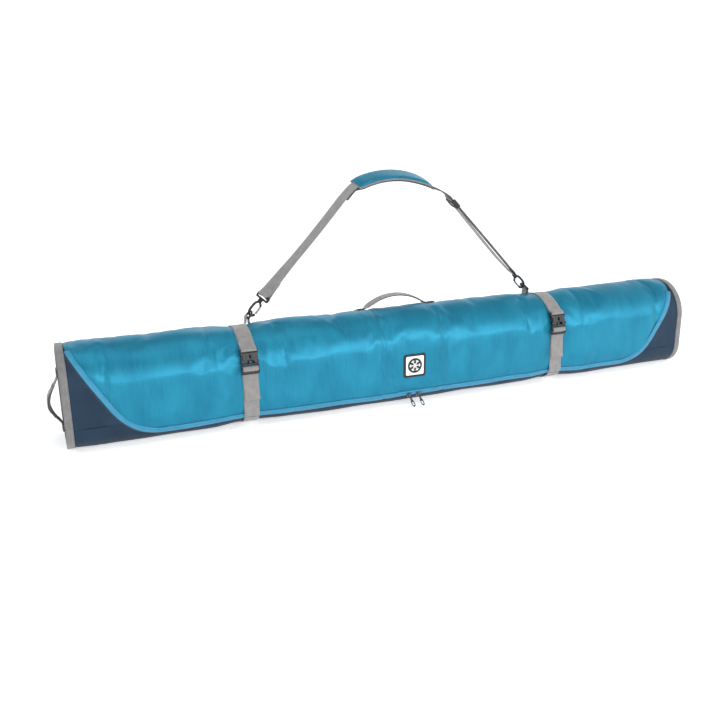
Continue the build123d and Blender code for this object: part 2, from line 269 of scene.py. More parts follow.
def ribbon(name, path, across, profile, material, closed=False):
    """Webbing: the profile's first number goes across, its second along path x across. The UV is the
    distance along and the distance across."""
    path = np.asarray(path, float)
    ahead = tangents(path, closed)
    across = np.broadcast_to(np.asarray(across, float), path.shape)
    across = across - ahead * (across * ahead).sum(1, keepdims=True)
    across = across / np.linalg.norm(across, axis=1, keepdims=True)
    up = np.cross(across, ahead)
    a, b = profile[None, :, :1], profile[None, :, 1:]
    loops = path[:, None] + a * across[:, None] + b * up[:, None]
    run = np.broadcast_to(along(path)[:, None], loops.shape[:2])
    wide = np.broadcast_to(profile[None, :, 0], loops.shape[:2])
    return carry(name, loops, material, np.stack([run, wide], -1), closed)


def circle(radius, count=12, flatten=1.0):
    """Points of a circle, or of an ellipse whose height is flatten times its width."""
    turn = np.linspace(0, 2 * math.pi, count, endpoint=False)
    return np.stack([radius * np.cos(turn), flatten * radius * np.sin(turn)], 1)


def tube(name, path, radius, material, closed=False, flatten=1.0, across=(1, 0, 0), count=12):
    """A round or flattened bar along a path."""
    return ribbon(name, path, across, circle(radius, count, flatten), material, closed)


print("a ring of 4 points in 2 mm steps has", len(smooth_path(circle(0.02, 4), closed=True)), "points")

# %% [markdown]
# ## Strips laid on the bag
# A tape that is sewn down follows a line on the unrolled bag. Its profile is given as (distance to the
# side of the line, lift above the skin), and each point is put on the surface on its own, so the tape
# bends with every swell and trench.

# %% Laid strips
def lay(name, line, profile, material, closed=False):
    """Carries a profile of (aside, lift) along a line of (x, s). Aside is measured square to the line."""
    line = np.asarray(line, float)
    ahead = tangents(line, closed)
    square = np.stack([-ahead[:, 1], ahead[:, 0]], 1)
    x = line[:, None, 0] + profile[None, :, 0] * square[:, None, 0]
    s = line[:, None, 1] + profile[None, :, 0] * square[:, None, 1]
    lift = np.broadcast_to(profile[None, :, 1], x.shape)
    run = np.broadcast_to(along(line)[:, None], x.shape)
    wide = np.broadcast_to(profile[None, :, 0], x.shape)
    return carry(name, hug(x, s, lift), material, np.stack([run, wide], -1), closed)


def flat_profile(low, high, bottom, top, count=6):
    """Loop of a laid strip from aside = low to high, with its lower face at bottom and its upper at top,
    and its edges eased by a third of the thickness."""
    ease = (top - bottom) / 3
    a = np.linspace(low + ease, high - ease, count)
    upper = np.stack([a, np.full(count, top)], 1)
    lower = np.stack([a[::-1], np.full(count, bottom)], 1)
    edges = ([[high, top - ease], [high, bottom + ease]], [[low, bottom + ease], [low, top - ease]])
    return np.vstack([upper, edges[0], lower, edges[1]])


def seeds(path, pitch):
    """Evenly spaced points along a path, and the direction there."""
    length = along(path)
    at = np.arange(pitch / 2, length[-1], pitch)
    spots = np.stack([np.interp(at, length, path[:, k]) for k in range(3)], -1)
    ahead = tangents(path)
    ways = np.stack([np.interp(at, length, ahead[:, k]) for k in range(3)], -1)
    return spots, ways / np.linalg.norm(ways, axis=1, keepdims=True)


SIX = np.linspace(0, 2 * math.pi, 6, endpoint=False)[None, :, None]


def small_bars(name, spots, reach, side, up, rings, material):
    """Many six-sided bars in one mesh. Each has four rings of (place, size): a ring's middle is the spot
    plus place times reach, and its points are size times (cos of the turn * side + sin * up)."""
    wheel = np.cos(SIX) * side[:, None] + np.sin(SIX) * up[:, None]
    rings = np.array(rings)[None, :, None]
    loops = spots[:, None, None] + rings[..., :1] * reach[:, None, None] + rings[..., 1:] * wheel[:, None]
    first = 24 * np.arange(len(spots))[:, None, None]
    sides, ends = np.array(grid_faces(4, 6, wrap_cols=True)), np.array([range(5, -1, -1), range(18, 24)])
    faces = [(kind[None] + first).reshape(-1, kind.shape[1]).tolist() for kind in (sides, ends)]
    return build(name, loops, faces[0] + faces[1], material)


def stitches(name, paths, material, pitch=4.2 * MM, length=3.0 * MM, radius=0.38 * MM):
    """Rows of thread: each stitch is a small bar along its path, thinner at its ends."""
    spots, ways = (np.vstack(part) for part in zip(*[seeds(path, pitch) for path in paths]))
    side = np.cross(ways, [0.31, 0.52, 0.79])
    side = side / np.linalg.norm(side, axis=1, keepdims=True)
    rings = [(-0.5, 0.25), (-0.36, 1.0), (0.36, 1.0), (0.5, 0.25)]
    return small_bars(name, spots, ways * length, side * radius, np.cross(ways, side) * radius, rings,
                      material)


print("webbing profile:", len(flat_profile(-19 * MM, 19 * MM, 0, 1.7 * MM)), "points")

# %% [markdown]
# ## Flat moulded plates
# Buckle halves, sliders and pullers are plates with holes. A filled flat curve with a bevel gives such a
# plate clean rounded edges, and it is made a mesh before it is put in its place.

# %% Plates
def rounded(width, height, radius, centre=(0, 0), steps=5):
    """Outline of a rectangle whose corners are quarter circles."""
    w, h = width / 2 - radius, height / 2 - radius
    turn = np.linspace(0, math.pi / 2, steps)
    parts = []
    for k, (cx, cy) in enumerate(((w, h), (-w, h), (-w, -h), (w, -h))):
        parts.append(np.stack([cx + radius * np.cos(turn + k * math.pi / 2),
                               cy + radius * np.sin(turn + k * math.pi / 2)], 1))
    return np.vstack(parts) + centre


def plate(name, outlines, heights, place, material, bow=0.0):
    """A plate from outlines, the first the rim and the rest holes. heights are its lower face, its upper
    face and the rounding of its edges, in millimetres. Bow bends it down from its origin by bow * y^2."""
    low, high, bevel = (height * MM for height in heights)
    curve = bpy.data.curves.new(name, "CURVE")
    curve.dimensions, curve.fill_mode = "2D", "BOTH"
    curve.extrude, curve.bevel_depth, curve.bevel_resolution = (high - low) / 2 - bevel, bevel, 2
    curve.offset = -bevel
    for outline in outlines:
        spline = curve.splines.new("POLY")
        spline.points.add(len(outline) - 1)
        spline.points.foreach_set("co", np.hstack([outline, np.zeros((len(outline), 1)),
                                                   np.ones((len(outline), 1))]).ravel())
        spline.use_cyclic_u = True
    holder = bpy.data.objects.new(name, curve)
    mesh = bpy.data.meshes.new_from_object(holder)
    bpy.data.objects.remove(holder)
    bpy.data.curves.remove(curve)
    points = np.zeros(len(mesh.vertices) * 3)
    mesh.vertices.foreach_get("co", points)
    points = points.reshape(-1, 3)
    points[:, 2] += (low + high) / 2 - bow * points[:, 1] ** 2
    mesh.vertices.foreach_set("co", points.ravel())
    mesh.name = name
    tidy = bmesh.new()
    tidy.from_mesh(mesh)
    bmesh.ops.remove_doubles(tidy, verts=tidy.verts, dist=1e-6)
    bmesh.ops.recalc_face_normals(tidy, faces=tidy.faces)
    tidy.to_mesh(mesh)
    tidy.free()
    mesh.transform(place)
    mesh.materials.clear()
    mesh.materials.append(material)
    mesh.polygons.foreach_set("use_smooth", np.zeros(len(mesh.polygons), bool))
    piece = bpy.data.objects.new(name, mesh)
    bpy.context.scene.collection.objects.link(piece)
    return piece


def join(name, pieces):
    """Several pieces as one object, with the first piece's material."""
    with bpy.context.temp_override(active_object=pieces[0], selected_editable_objects=pieces,
                                   selected_objects=pieces, object=pieces[0]):
        bpy.ops.object.join()
    pieces[0].name = pieces[0].data.name = name
    return pieces[0]


def placing(origin, x_way, y_way):
    """Matrix that puts a flat drawing in place: x and y along two directions, z square to both."""
    x_way, y_way = Vector(x_way).normalized(), Vector(y_way).normalized()
    z_way = x_way.cross(y_way)
    rows = Matrix((x_way, y_way, z_way)).transposed().to_4x4()
    return Matrix.Translation(Vector(origin)) @ rows


# %% [markdown]
# ## Camera, floor and light
# The camera stands a little above the bag and to its left, with a slightly long lens, so that the long
# bag keeps straight lines. It is turned by its yaw, tilt and roll. A wide low soft box in front draws the
# long soft highlight that tells the eye that the cover is a smooth round cloth, a second one overhead
# lights the top, and a weak one behind keeps the navy back readable. The floor comes later, when there is
# a helper for its finish.

# %% Camera
YAW, TILT, ROLL = (math.radians(a) for a in (21.6, 17.49, -0.63))
ahead = Vector((math.sin(YAW) * math.cos(TILT), math.cos(YAW) * math.cos(TILT), -math.sin(TILT)))
level = Vector((math.cos(YAW), -math.sin(YAW), 0))
right = level * math.cos(ROLL) + level.cross(ahead) * math.sin(ROLL)
camera = bpy.data.objects.new("camera", bpy.data.cameras.new("camera"))
camera.data.lens, camera.data.sensor_width = 42.44, 36
camera.data.clip_start, camera.data.clip_end = 0.05, 60
turned = Matrix((right, right.cross(ahead), -ahead)).transposed().to_4x4()
camera.matrix_world = Matrix.Translation((-0.896, -1.976, 0.776)) @ turned
bpy.context.scene.collection.objects.link(camera)
bpy.context.scene.camera = camera
print("camera at", tuple(camera.location))

# %% Floor and lights
def colour(code):
    """Linear colour of an sRGB hex code: c / 12.92 when dark, else ((c + 0.055) / 1.055)^2.4."""
    c = np.array([int(code[k:k + 2], 16) for k in (1, 3, 5)]) / 255
    return (*np.where(c <= 0.04045, c / 12.92, ((c + 0.055) / 1.055) ** 2.4).tolist(), 1.0)


def lamp(name, place, aim, wide, tall, power):
    """A soft box, wide by tall in metres, aimed at a point."""
    light = bpy.data.lights.new(name, "AREA")
    light.shape, light.size, light.size_y, light.energy = "RECTANGLE", wide, tall, power
    holder = bpy.data.objects.new(name, light)
    holder.location = place
    holder.rotation_mode = "QUATERNION"
    holder.rotation_quaternion = (Vector(aim) - Vector(place)).to_track_quat("-Z", "Y")
    bpy.context.scene.collection.objects.link(holder)


world = bpy.data.worlds.new("studio")
world.use_nodes = True
world.node_tree.nodes["Background"].inputs["Color"].default_value = colour("#f4f6f8")
world.node_tree.nodes["Background"].inputs["Strength"].default_value = 0.3
bpy.context.scene.world = world
bpy.context.scene.view_settings.view_transform = "Standard"
lamp("front_bank", (0.9, -2.9, 1.45), (0, 0, 0.12), 3.6, 0.9, 58)
lamp("top_bank", (-0.4, -0.4, 2.9), (0, 0, 0.1), 2.4, 1.6, 20)
lamp("back_bank", (0.3, 2.6, 1.9), (0, 0, 0.1), 2.6, 1.2, 5)
print("lights:", [light.name for light in bpy.data.lights])

# %% [markdown]
# ## One way to wire a material
# Each finish below starts from what the real one is and how it was made. A single helper adds a node
# with its settings and links, so a finish reads as a list of what lies on the surface.

# %% Material helpers
def add(tree, kind, settings=(), inputs=()):
    """Adds a shader node, sets its properties, and gives its sockets values or other nodes' outputs."""
    made = tree.nodes.new("ShaderNode" + kind)
    for key, value in dict(settings).items():
        setattr(made, key, value)
    for key, value in dict(inputs).items():
        if isinstance(value, bpy.types.NodeSocket):
            tree.links.new(value, made.inputs[key])
        else:
            made.inputs[key].default_value = value
    return made


def start(name, base, roughness, **more):
    """A material with one Principled shader; more sets its other sockets, spelled with underscores."""
    made = bpy.data.materials.new(name)
    made.use_nodes = True
    shader = made.node_tree.nodes["Principled BSDF"]
    shader.inputs["Base Color"].default_value = colour(base)
    shader.inputs["Roughness"].default_value = roughness
    for key, value in more.items():
        shader.inputs[key.replace("_", " ")].default_value = value
    return made, made.node_tree, shader


def mixed(tree, factor, dark, light):
    """Colour output between two hex colours by a factor output."""
    inputs = {0: factor, 6: colour(dark), 7: colour(light)}
    return add(tree, "Mix", {"data_type": "RGBA"}, inputs).outputs[2]


def spread(tree, value, low, high, from_low=0.3, from_high=0.7):
    """Moves a pattern's middle range onto low to high."""
    inputs = {"Value": value, "From Min": from_low, "From Max": from_high, "To Min": low, "To Max": high}
    return add(tree, "MapRange", {}, inputs).outputs[0]


def threads(tree, where, pitch, way, wobble=0.0, fine=2.0):
    """Sine bands of a pitch in metres across X or Y. The Wave node's period is 2 pi / 20 / scale."""
    inputs = {"Vector": where, "Scale": 2 * math.pi / 20 / pitch, "Distortion": wobble,
              "Detail": 1.0, "Detail Scale": fine}
    return add(tree, "TexWave", {"bands_direction": way, "wave_profile": "SIN"}, inputs).outputs[1]


def cloud(tree, where, size, detail=3.0, rough=0.5):
    """Noise whose blobs are about size metres wide."""
    inputs = {"Vector": where, "Scale": 1 / size, "Detail": detail, "Roughness": rough}
    return add(tree, "TexNoise", {}, inputs).outputs[0]


def emboss(tree, shader, layers):
    """Chains bumps onto the shader's normal; each layer is a height output and its depth in metres."""
    normal = None
    for height, depth in layers:
        inputs = {"Height": height, "Distance": depth, "Strength": 1.0}
        if normal is not None:
            inputs["Normal"] = normal
        normal = add(tree, "Bump", {}, inputs).outputs[0]
    tree.links.new(normal, shader.inputs["Normal"])


def stretched(tree, where, x, y, z=1.0):
    """Coordinates scaled on each axis, to draw a pattern out in one direction."""
    return add(tree, "Mapping", {"vector_type": "POINT"},
               {"Vector": where, "Scale": (x, y, z)}).outputs[0]


def on_cloth(tree):
    """The piece's own UV map, which is in metres along and across the cloth."""
    return add(tree, "UVMap", {"uv_map": "cloth"}).outputs[0]


def in_space(tree):
    """Object coordinates, which are metres in the frame."""
    return add(tree, "TexCoord").outputs["Object"]


# %% [markdown]
# ## Finishes
# The cover is a dobby polyester: a bright filament cloth with a faint rib that runs down the bag. Its
# real rib is under 1 mm, and it is drawn at 2.6 mm so that it shows. The filaments give a broad silky
# sheen and small colour shifts where the cloth creeps.

# %% Cloths
def shell_cloth(name, dark, light, rib, roughness, silk, streak):
    """Ribbed polyester: threads down the bag, fainter ones along it, creases, and a colour that drifts.
    silk is the share of light that the dyed filaments reflect in their own colour."""
    made, tree, shader = start(name, light, roughness, Metallic=silk, Specular_IOR_Level=0.2)
    cloth = on_cloth(tree)
    down, over = threads(tree, cloth, rib, "X", 1.2, 6.0), threads(tree, cloth, rib * 1.6, "Y", 0.8, 6.0)
    drift = cloud(tree, stretched(tree, cloth, 2.0, 1.0), 0.12, 3.0)
    streaks = cloud(tree, stretched(tree, cloth, 1.0, 0.06), streak, 3.0, 0.65)
    shade = add(tree, "Math", {"operation": "MULTIPLY_ADD"}, {0: down, 1: 0.25, 2: drift}).outputs[0]
    shade = add(tree, "Math", {"operation": "MULTIPLY_ADD"}, {0: streaks, 1: 0.6, 2: shade}).outputs[0]
    tree.links.new(mixed(tree, spread(tree, shade, 0.0, 1.0, 0.55, 1.25), dark, light),
                   shader.inputs["Base Color"])
    tree.links.new(spread(tree, streaks, roughness - 0.06, roughness + 0.1), shader.inputs["Roughness"])
    crease = cloud(tree, stretched(tree, cloth, 1.0, 0.35), 0.06, 3.0, 0.5)
    emboss(tree, shader, [(crease, 1.3 * MM), (streaks, 0.14 * MM), (over, 0.05 * MM), (down, 0.10 * MM)])
    return made


def ribbed_tape(name, dark, light, rib, roughness, sheen=0.3, line=0.0):
    """Woven tape: round weft ribs across it, fine warp along it, and a little soiling here and there."""
    made, tree, shader = start(name, light, roughness, Sheen_Weight=sheen, Sheen_Roughness=0.5)
    cloth = on_cloth(tree)
    ribs, warp = threads(tree, cloth, rib, "X", 0.4, 3.0), threads(tree, cloth, rib * 0.7, "Y", 0.3, 3.0)
    worn = cloud(tree, cloth, 0.018, 4.0, 0.6)
    shade = add(tree, "Math", {"operation": "MULTIPLY_ADD"}, {0: ribs, 1: 0.45, 2: worn}).outputs[0]
    shade = add(tree, "Math", {"operation": "MULTIPLY_ADD"}, {0: warp, 1: 0.25, 2: shade}).outputs[0]
    tree.links.new(mixed(tree, spread(tree, shade, 0.0, 1.0, 0.45, 1.25), dark, light),
                   shader.inputs["Base Color"])
    layers = [(warp, 0.12 * MM), (ribs, 0.28 * MM)]
    if line:
        layers.append((threads(tree, cloth, line, "Y"), 0.25 * MM))
    emboss(tree, shader, layers)
    return made


BLUE = shell_cloth("ribbed_polyester_blue", "#176b89", "#2588a5", 2.6 * MM, 0.36, 0.42, 0.0035)
NAVY = shell_cloth("coarse_polyester_navy", "#172a3c", "#24394d", 2.0 * MM, 0.5, 0.1, 0.004)
WEBBING = ribbed_tape("nylon_webbing_grey", "#6d6c6c", "#95928f", 2.2 * MM, 0.62, line=9.5 * MM)
BINDING = ribbed_tape("grosgrain_grey", "#5f5e5f", "#858382", 2.4 * MM, 0.66)
EDGING = ribbed_tape("woven_edging_blue", "#1b7699", "#2d92b8", 2.4 * MM, 0.42, 0.06)
DARK_WEB = ribbed_tape("nylon_webbing_black", "#161618", "#2c2c2f", 2.2 * MM, 0.6)
ZIP_CLOTH = ribbed_tape("knitted_zip_tape", "#101c2c", "#22354d", 1.5 * MM, 0.7)
print("cloths made")

# %% [markdown]
# Lining is a thin taffeta, quilted to the foam in 60 mm diamonds. The foam is closed-cell polyethylene,
# whose cut edge shows small bubbles.

# %% Lining, foam and thread
def lining_cloth():
    """Pale taffeta with diamond quilting: two sets of slanting bands multiplied, and fine threads. The
    colour is darkened along the quilting grooves as painted shade.
    """
    made, tree, shader = start("quilted_taffeta_lining", "#b9bdc0", 0.5, Sheen_Weight=0.2)
    cloth = on_cloth(tree)
    slanted = add(tree, "Mapping", {}, {"Vector": cloth, "Rotation": (0, 0, math.pi / 4)}).outputs[0]
    quilt = [threads(tree, slanted, 42 * MM, way) for way in ("X", "Y")]
    both = add(tree, "Math", {"operation": "MULTIPLY"}, {0: quilt[0], 1: quilt[1]}).outputs[0]
    fine = threads(tree, cloth, 1.6 * MM, "X")
    # Painted shade: the colour goes from #c3c7ca down to #8e9396 in the quilting grooves, where the bump
    # sinks.
    tree.links.new(mixed(tree, spread(tree, both, 0, 1, 0.0, 0.4), "#8e9396", "#c3c7ca"),
                   shader.inputs["Base Color"])
    emboss(tree, shader, [(both, 3.0 * MM), (fine, 0.06 * MM)])
    return made


def bubbled_foam():
    """Closed-cell foam: rounded cells 1.5 mm wide from a Voronoi pattern."""
    made, tree, shader = start("closed_cell_foam", "#3a3d42", 0.85)
    cells = add(tree, "TexVoronoi", {}, {"Vector": in_space(tree), "Scale": 1 / (1.5 * MM)}).outputs[0]
    tree.links.new(mixed(tree, cells, "#4a4e54", "#26282c"), shader.inputs["Base Color"])
    emboss(tree, shader, [(cells, 0.4 * MM)])
    return made


def thread_finish(name, dark, light):
    """Twisted polyester thread: a spiral of fine bands of painted highlight and shade, drawn where the
    twist catches the light on one side.
    """
    made, tree, shader = start(name, light, 0.5, Sheen_Weight=0.2)
    twist_highlight_and_shade = threads(tree, in_space(tree), 0.9 * MM, "DIAGONAL", 0.3)
    # Painted highlight and shade: the spiral bands mix the thread's dark and light colours.
    tree.links.new(mixed(tree, twist_highlight_and_shade, dark, light), shader.inputs["Base Color"])
    return made


LINING, FOAM = lining_cloth(), bubbled_foam()
GREY_THREAD = thread_finish("polyester_thread_grey", "#5e5c5a", "#b1aca8")
BLUE_THREAD = thread_finish("polyester_thread_blue", "#0d4560", "#1f7296")
BLACK_THREAD = thread_finish("polyester_thread_black", "#0c0c0d", "#29292b")

# %% [markdown]
# Buckles are moulded acetal: near black, with a fine spark-eroded grain of about 0.4 mm (drawn a little
# coarse) that breaks up the gloss. The zip's coil is drawn nylon. The metal is die-cast zinc with a dark
# nickel plate, and the hooks' gates are bright stainless wire.

# %% Plastic, rubber and metal
def moulded(name, dark, light, roughness, grain):
    """Moulded plastic: spark-eroded grain in bump and roughness, and faint flow marks in colour."""
    made, tree, shader = start(name, dark, roughness, IOR=1.48)
    place = in_space(tree)
    rub, flow = cloud(tree, place, grain, 2.0, 0.6), cloud(tree, place, 0.012, 3.0)
    tree.links.new(mixed(tree, spread(tree, flow, 0, 1), dark, light), shader.inputs["Base Color"])
    tree.links.new(spread(tree, rub, roughness - 0.1, roughness + 0.12), shader.inputs["Roughness"])
    emboss(tree, shader, [(rub, 0.12 * MM)])
    return made


def plated(name, dark, light, roughness):
    """Plated metal: tiny scuffs that change the gloss, and a cast surface that isn't quite flat."""
    made, tree, shader = start(name, light, roughness, Metallic=1.0)
    place = in_space(tree)
    cast = cloud(tree, place, 0.003, 3.0)
    scuff = cloud(tree, stretched(tree, place, 1, 5, 1), 0.0016, 4.0, 0.7)
    tree.links.new(mixed(tree, spread(tree, scuff, 0, 1), dark, light), shader.inputs["Base Color"])
    tree.links.new(spread(tree, scuff, roughness - 0.08, roughness + 0.14), shader.inputs["Roughness"])
    emboss(tree, shader, [(cast, 0.1 * MM)])
    return made


PLASTIC = moulded("acetal_black", "#141416", "#1f1f22", 0.42, 0.9 * MM)
COIL = moulded("nylon_coil_dark", "#10161f", "#1d2836", 0.35, 0.8 * MM)
NICKEL = plated("dark_nickel", "#55555a", "#8b8b90", 0.3)
STEEL = plated("stainless_steel", "#7c7e80", "#aeb0b2", 0.32)
RUBBER_BLACK = moulded("pvc_rubber_black", "#101012", "#1a1a1c", 0.5, 0.7 * MM)
RUBBER_WHITE = moulded("pvc_rubber_white", "#e3e4e2", "#f4f5f3", 0.5, 0.7 * MM)
print("finishes:", len(bpy.data.materials))


def attach(piece, body, slot, *nodes):
    """Rides a piece on a body, or, given a fold between two bodies, bakes it where it is; hides the nodes
    it stands for. The slot is not used.
    """
    if isinstance(body, str):
        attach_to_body(piece, body)
    else:
        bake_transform(piece)
    if nodes:
        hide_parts(*nodes)
    print(piece.name, len(piece.data.polygons), "faces on", body if isinstance(body, str) else body[:2])
    return piece


# %% [markdown]
# ## A sweep of white paper
# A studio floor that curves up into a wall has no horizon line. It is a bowl: rings that lie flat as far
# as FLOOR_R and then rise like a quarter ellipse. A little emission keeps the paper white far from the
# lights, as an over-lit backdrop is.

# %% Backdrop
floor_finish, floor_tree, floor_shader = start("white_paper_sweep", "#f2f3f4", 0.9)
floor_grain = cloud(floor_tree, in_space(floor_tree), 0.8, 2.0)
floor_tree.links.new(mixed(floor_tree, floor_grain, "#f0f0f0", "#f5f6f7"),
                     floor_shader.inputs["Base Color"])
floor_shader.inputs["Emission Color"].default_value = colour("#ffffff")
floor_shader.inputs["Emission Strength"].default_value = 0.46
FLOOR_R, WALL_R, WALL_TALL, SPOKES = 6.0, 10.0, 9.0, 64
rise = np.linspace(0, math.pi / 2, 13)
ring_r = np.concatenate([[0.02, 1.5, 3.0, 4.5], FLOOR_R + (WALL_R - FLOOR_R) * np.sin(rise)])
ring_z = np.concatenate([np.zeros(4), WALL_TALL * (1 - np.cos(rise))])
round_turn = np.linspace(0, 2 * math.pi, SPOKES, endpoint=False)
floor_points = np.stack([ring_r[:, None] * np.cos(round_turn), ring_r[:, None] * np.sin(round_turn),
                         np.broadcast_to(ring_z[:, None], (len(ring_r), SPOKES))], -1).reshape(-1, 3)
quads = grid_faces(len(ring_r), SPOKES, wrap_cols=True)
floor_mesh = bpy.data.meshes.new("floor")
floor_mesh.from_pydata(floor_points.tolist(), [], quads + [list(range(SPOKES - 1, -1, -1))])
floor_mesh.materials.append(floor_finish)
floor_mesh.shade_smooth()
floor = bpy.data.objects.new("floor", floor_mesh)
bpy.context.scene.collection.objects.link(floor)
print("floor:", len(quads), "quads, flat to", FLOOR_R, "m")

# %% [markdown]
# ## The zip line
# The zip runs level along the lower front, turns up in a wide arc and climbs to the top at each end. The
# lid is what lies above it. Knowing its height z at every x gives both the lid's outline and the line
# that all the tapes and teeth are laid along.

# %% Zip line
BEND_R, SLOPE = 137 * MM, math.tan(math.radians(58))
BEND_X, RISE_X = 640 * MM, 756.2 * MM
RISE_Z = ZIP_Z + BEND_R - math.sqrt(BEND_R**2 - (RISE_X - BEND_X) ** 2)
END_X = HALF - BAND


def zip_height(x):
    """z of the zip at x: level, then a circle's lower edge, then a straight slope."""
    a = np.abs(x)
    arc = ZIP_Z + BEND_R - np.sqrt(BEND_R**2 - np.clip(a - BEND_X, 0, RISE_X - BEND_X) ** 2)
    return np.where(a < RISE_X, arc, RISE_Z + SLOPE * (a - RISE_X))


def front_s(z):
    """s on the front at a height z: the inverse of section()."""
    z = np.clip(z, 1e-6, TALL)
    crown = ROUND * np.arccos(np.clip((z - CENTRE_Z) / ROUND, 0, 1))
    heel = ARC + SIDE + HEEL * np.arcsin(np.clip((HEEL - z) / HEEL, 0, 1))
    return np.where(z >= CENTRE_Z, crown, np.where(z >= HEEL, ARC + CENTRE_Z - z, heel))


def zip_reach(s):
    """|x| of the zip at s, which inverts zip_height: a circle below RISE_Z, a slope above it."""
    z = section(np.clip(s, 0, None))[1]
    arc = BEND_X + np.sqrt(np.clip(BEND_R**2 - (ZIP_Z + BEND_R - z) ** 2, 0, None))
    return np.minimum(np.where(z < RISE_Z, arc, RISE_X + (z - RISE_Z) / SLOPE), END_X + 3 * MM)


dense_x = np.linspace(-END_X, END_X, 4000)
ZIP_LINE = smooth_path(np.stack([dense_x, front_s(zip_height(dense_x))], 1)[::20], 4 * MM)
ZIP_S, BACK_S = float(front_s(ZIP_Z)), -68 * MM
print("zip line:", len(ZIP_LINE), "points, length", round(along(ZIP_LINE)[-1], 3))

# %% [markdown]
# ## Letting the padding out
# The lid's cloth is cut a little larger than the foam under it, so it swells and creases between the
# lines where it is held: its edges, the straps, the two seams, the label and the handle's feet. A cloth
# simulation finds those creases. It runs on a coarse grid, its moves are capped and smoothed, and they
# are then added to the finely spaced surface, which keeps the seams sharp.

# %% Cloth simulation
def held_down(x, s):
    """True where the cover is sewn down."""
    strap = np.abs(np.abs(x) - STRAP_X) < 26 * MM
    seam = np.abs(np.abs(x) - SEAM_X) < 4 * MM
    label = (np.abs(x) < 36 * MM) & (np.abs(s - 184 * MM) < 38 * MM)
    foot = (np.abs(np.abs(x) - 91 * MM) < 14 * MM) & (np.abs(s + 33 * MM) < 18 * MM)
    return strap | seam | label | foot


def let_out(points, held, grow, pressure, frames, cap):
    """Moves of a grid of cloth that is grow longer than it lies, blown out by pressure: the simulated
    points minus the first ones, no longer than cap, and smoothed by 1-2-1 averages both ways."""
    rows, cols = points.shape[:2]
    mesh = bpy.data.meshes.new("cloth_trial")
    mesh.from_pydata(points.reshape(-1, 3).tolist(), [], grid_faces(rows, cols))
    trial = bpy.data.objects.new("cloth_trial", mesh)
    bpy.context.scene.collection.objects.link(trial)
    group = trial.vertex_groups.new(name="held")
    group.add(np.flatnonzero(held).tolist(), 1.0, "REPLACE")
    cloth = trial.modifiers.new("cloth", "CLOTH")
    rule = cloth.settings
    rule.quality, rule.mass, rule.air_damping = 5, 0.2, 2.0
    rule.tension_stiffness = rule.compression_stiffness = 12
    rule.shear_stiffness, rule.bending_stiffness = 5, 0.35
    rule.use_pressure, rule.uniform_pressure_force = True, pressure
    rule.shrink_min, rule.vertex_group_mass = -grow, "held"
    rule.effector_weights.gravity = 0
    cloth.collision_settings.use_collision = False
    for frame_number in range(1, frames + 1):
        bpy.context.scene.frame_set(frame_number)
    shown = trial.evaluated_get(bpy.context.evaluated_depsgraph_get())
    moved = np.zeros(rows * cols * 3)
    shown.data.vertices.foreach_get("co", moved)
    bpy.context.scene.frame_set(1)
    bpy.data.objects.remove(trial)
    move = moved.reshape(points.shape) - points
    for axis in (0, 1):
        near, far = np.roll(move, 1, axis), np.roll(move, -1, axis)
        move = (2 * move + near + far) / 4
    move[held.reshape(rows, cols)] = 0
    size = np.linalg.norm(move, axis=2, keepdims=True)
    print("cloth let out: mean", round(float(size.mean()) * 1000, 2), "mm, most",
          round(float(size.max()) * 1000, 2))
    return move * np.minimum(1, cap / np.maximum(size, 1e-9))


def finer(grid, rows, cols):
    """A grid resampled to rows by cols by straight lines in both directions."""
    old_r, old_c = np.linspace(0, 1, grid.shape[0]), np.linspace(0, 1, grid.shape[1])
    new_r, new_c = np.linspace(0, 1, rows), np.linspace(0, 1, cols)
    low = np.clip(np.searchsorted(old_r, new_r, "right") - 1, 0, len(old_r) - 2)
    part = ((new_r - old_r[low]) / (old_r[1] - old_r[0]))[:, None, None]
    tall = grid[low] * (1 - part) + grid[low + 1] * part
    low = np.clip(np.searchsorted(old_c, new_c, "right") - 1, 0, len(old_c) - 2)
    part = ((new_c - old_c[low]) / (old_c[1] - old_c[0]))[None, :, None]
    return tall[:, low] * (1 - part) + tall[:, low + 1] * part


def lid_grid(rows, cols):
    """x and s over the lid: s from the back seam to the zip, x from one end of that row to the other."""
    ease = np.linspace(0, 1, rows) ** 0.9
    s = BACK_S + (ZIP_S - 1.5 * MM - BACK_S) * ease[:, None]
    x = np.linspace(-1, 1, cols)[None, :] * (zip_reach(s) - 2 * MM)
    return x, np.broadcast_to(s, x.shape)


def shell(name, outer, inner, uv, material):
    """A closed skin between two grids: each loop is an outer column down and the inner one back up."""
    loops = np.concatenate([outer, inner[::-1]], 0).transpose(1, 0, 2)
    two = np.concatenate([uv, uv[::-1]], 0).transpose(1, 0, 2)
    return carry(name, loops, material, two)


coarse_x, coarse_s = lid_grid(54, 280)
held = held_down(coarse_x, coarse_s)
held[:2], held[-3:], held[:, :2], held[:, -2:] = True, True, True, True
LID_MOVE = let_out(hug(coarse_x, coarse_s), held, 0.018, 3.0, 16, 4.5 * MM)

# %% [markdown]
# ## The lid's cover and what is under it
# The cover is one sheet of ribbed polyester from the zip over the top to the back seam. It bends
# at the top line when the lid opens. Foam and lining follow it from inside.

# %% Lid
LID_FOLD = ("bag_base", "lid", (0, 0.030, 0.236), (0, -0.025, 0.236))
LID_GRID = (100, 430)
CLOTH, FOAM_DEPTHS, LINING_DEPTHS = 2 * MM, (-7.4 * MM, -2.3 * MM), (-9.2 * MM, -7.7 * MM)
lid_x, lid_s = lid_grid(*LID_GRID)
lid_uv = np.stack([lid_x, lid_s], -1)
outer = hug(lid_x, lid_s) + finer(LID_MOVE, *LID_GRID)
lid_cover = shell("lid_cover", outer, hug(lid_x, lid_s, -CLOTH), lid_uv, BLUE)
attach(lid_cover, LID_FOLD, "blue_fabric", "lid_panel_left", "lid_panel_centre", "lid_panel_right",
       "yoke_panel")


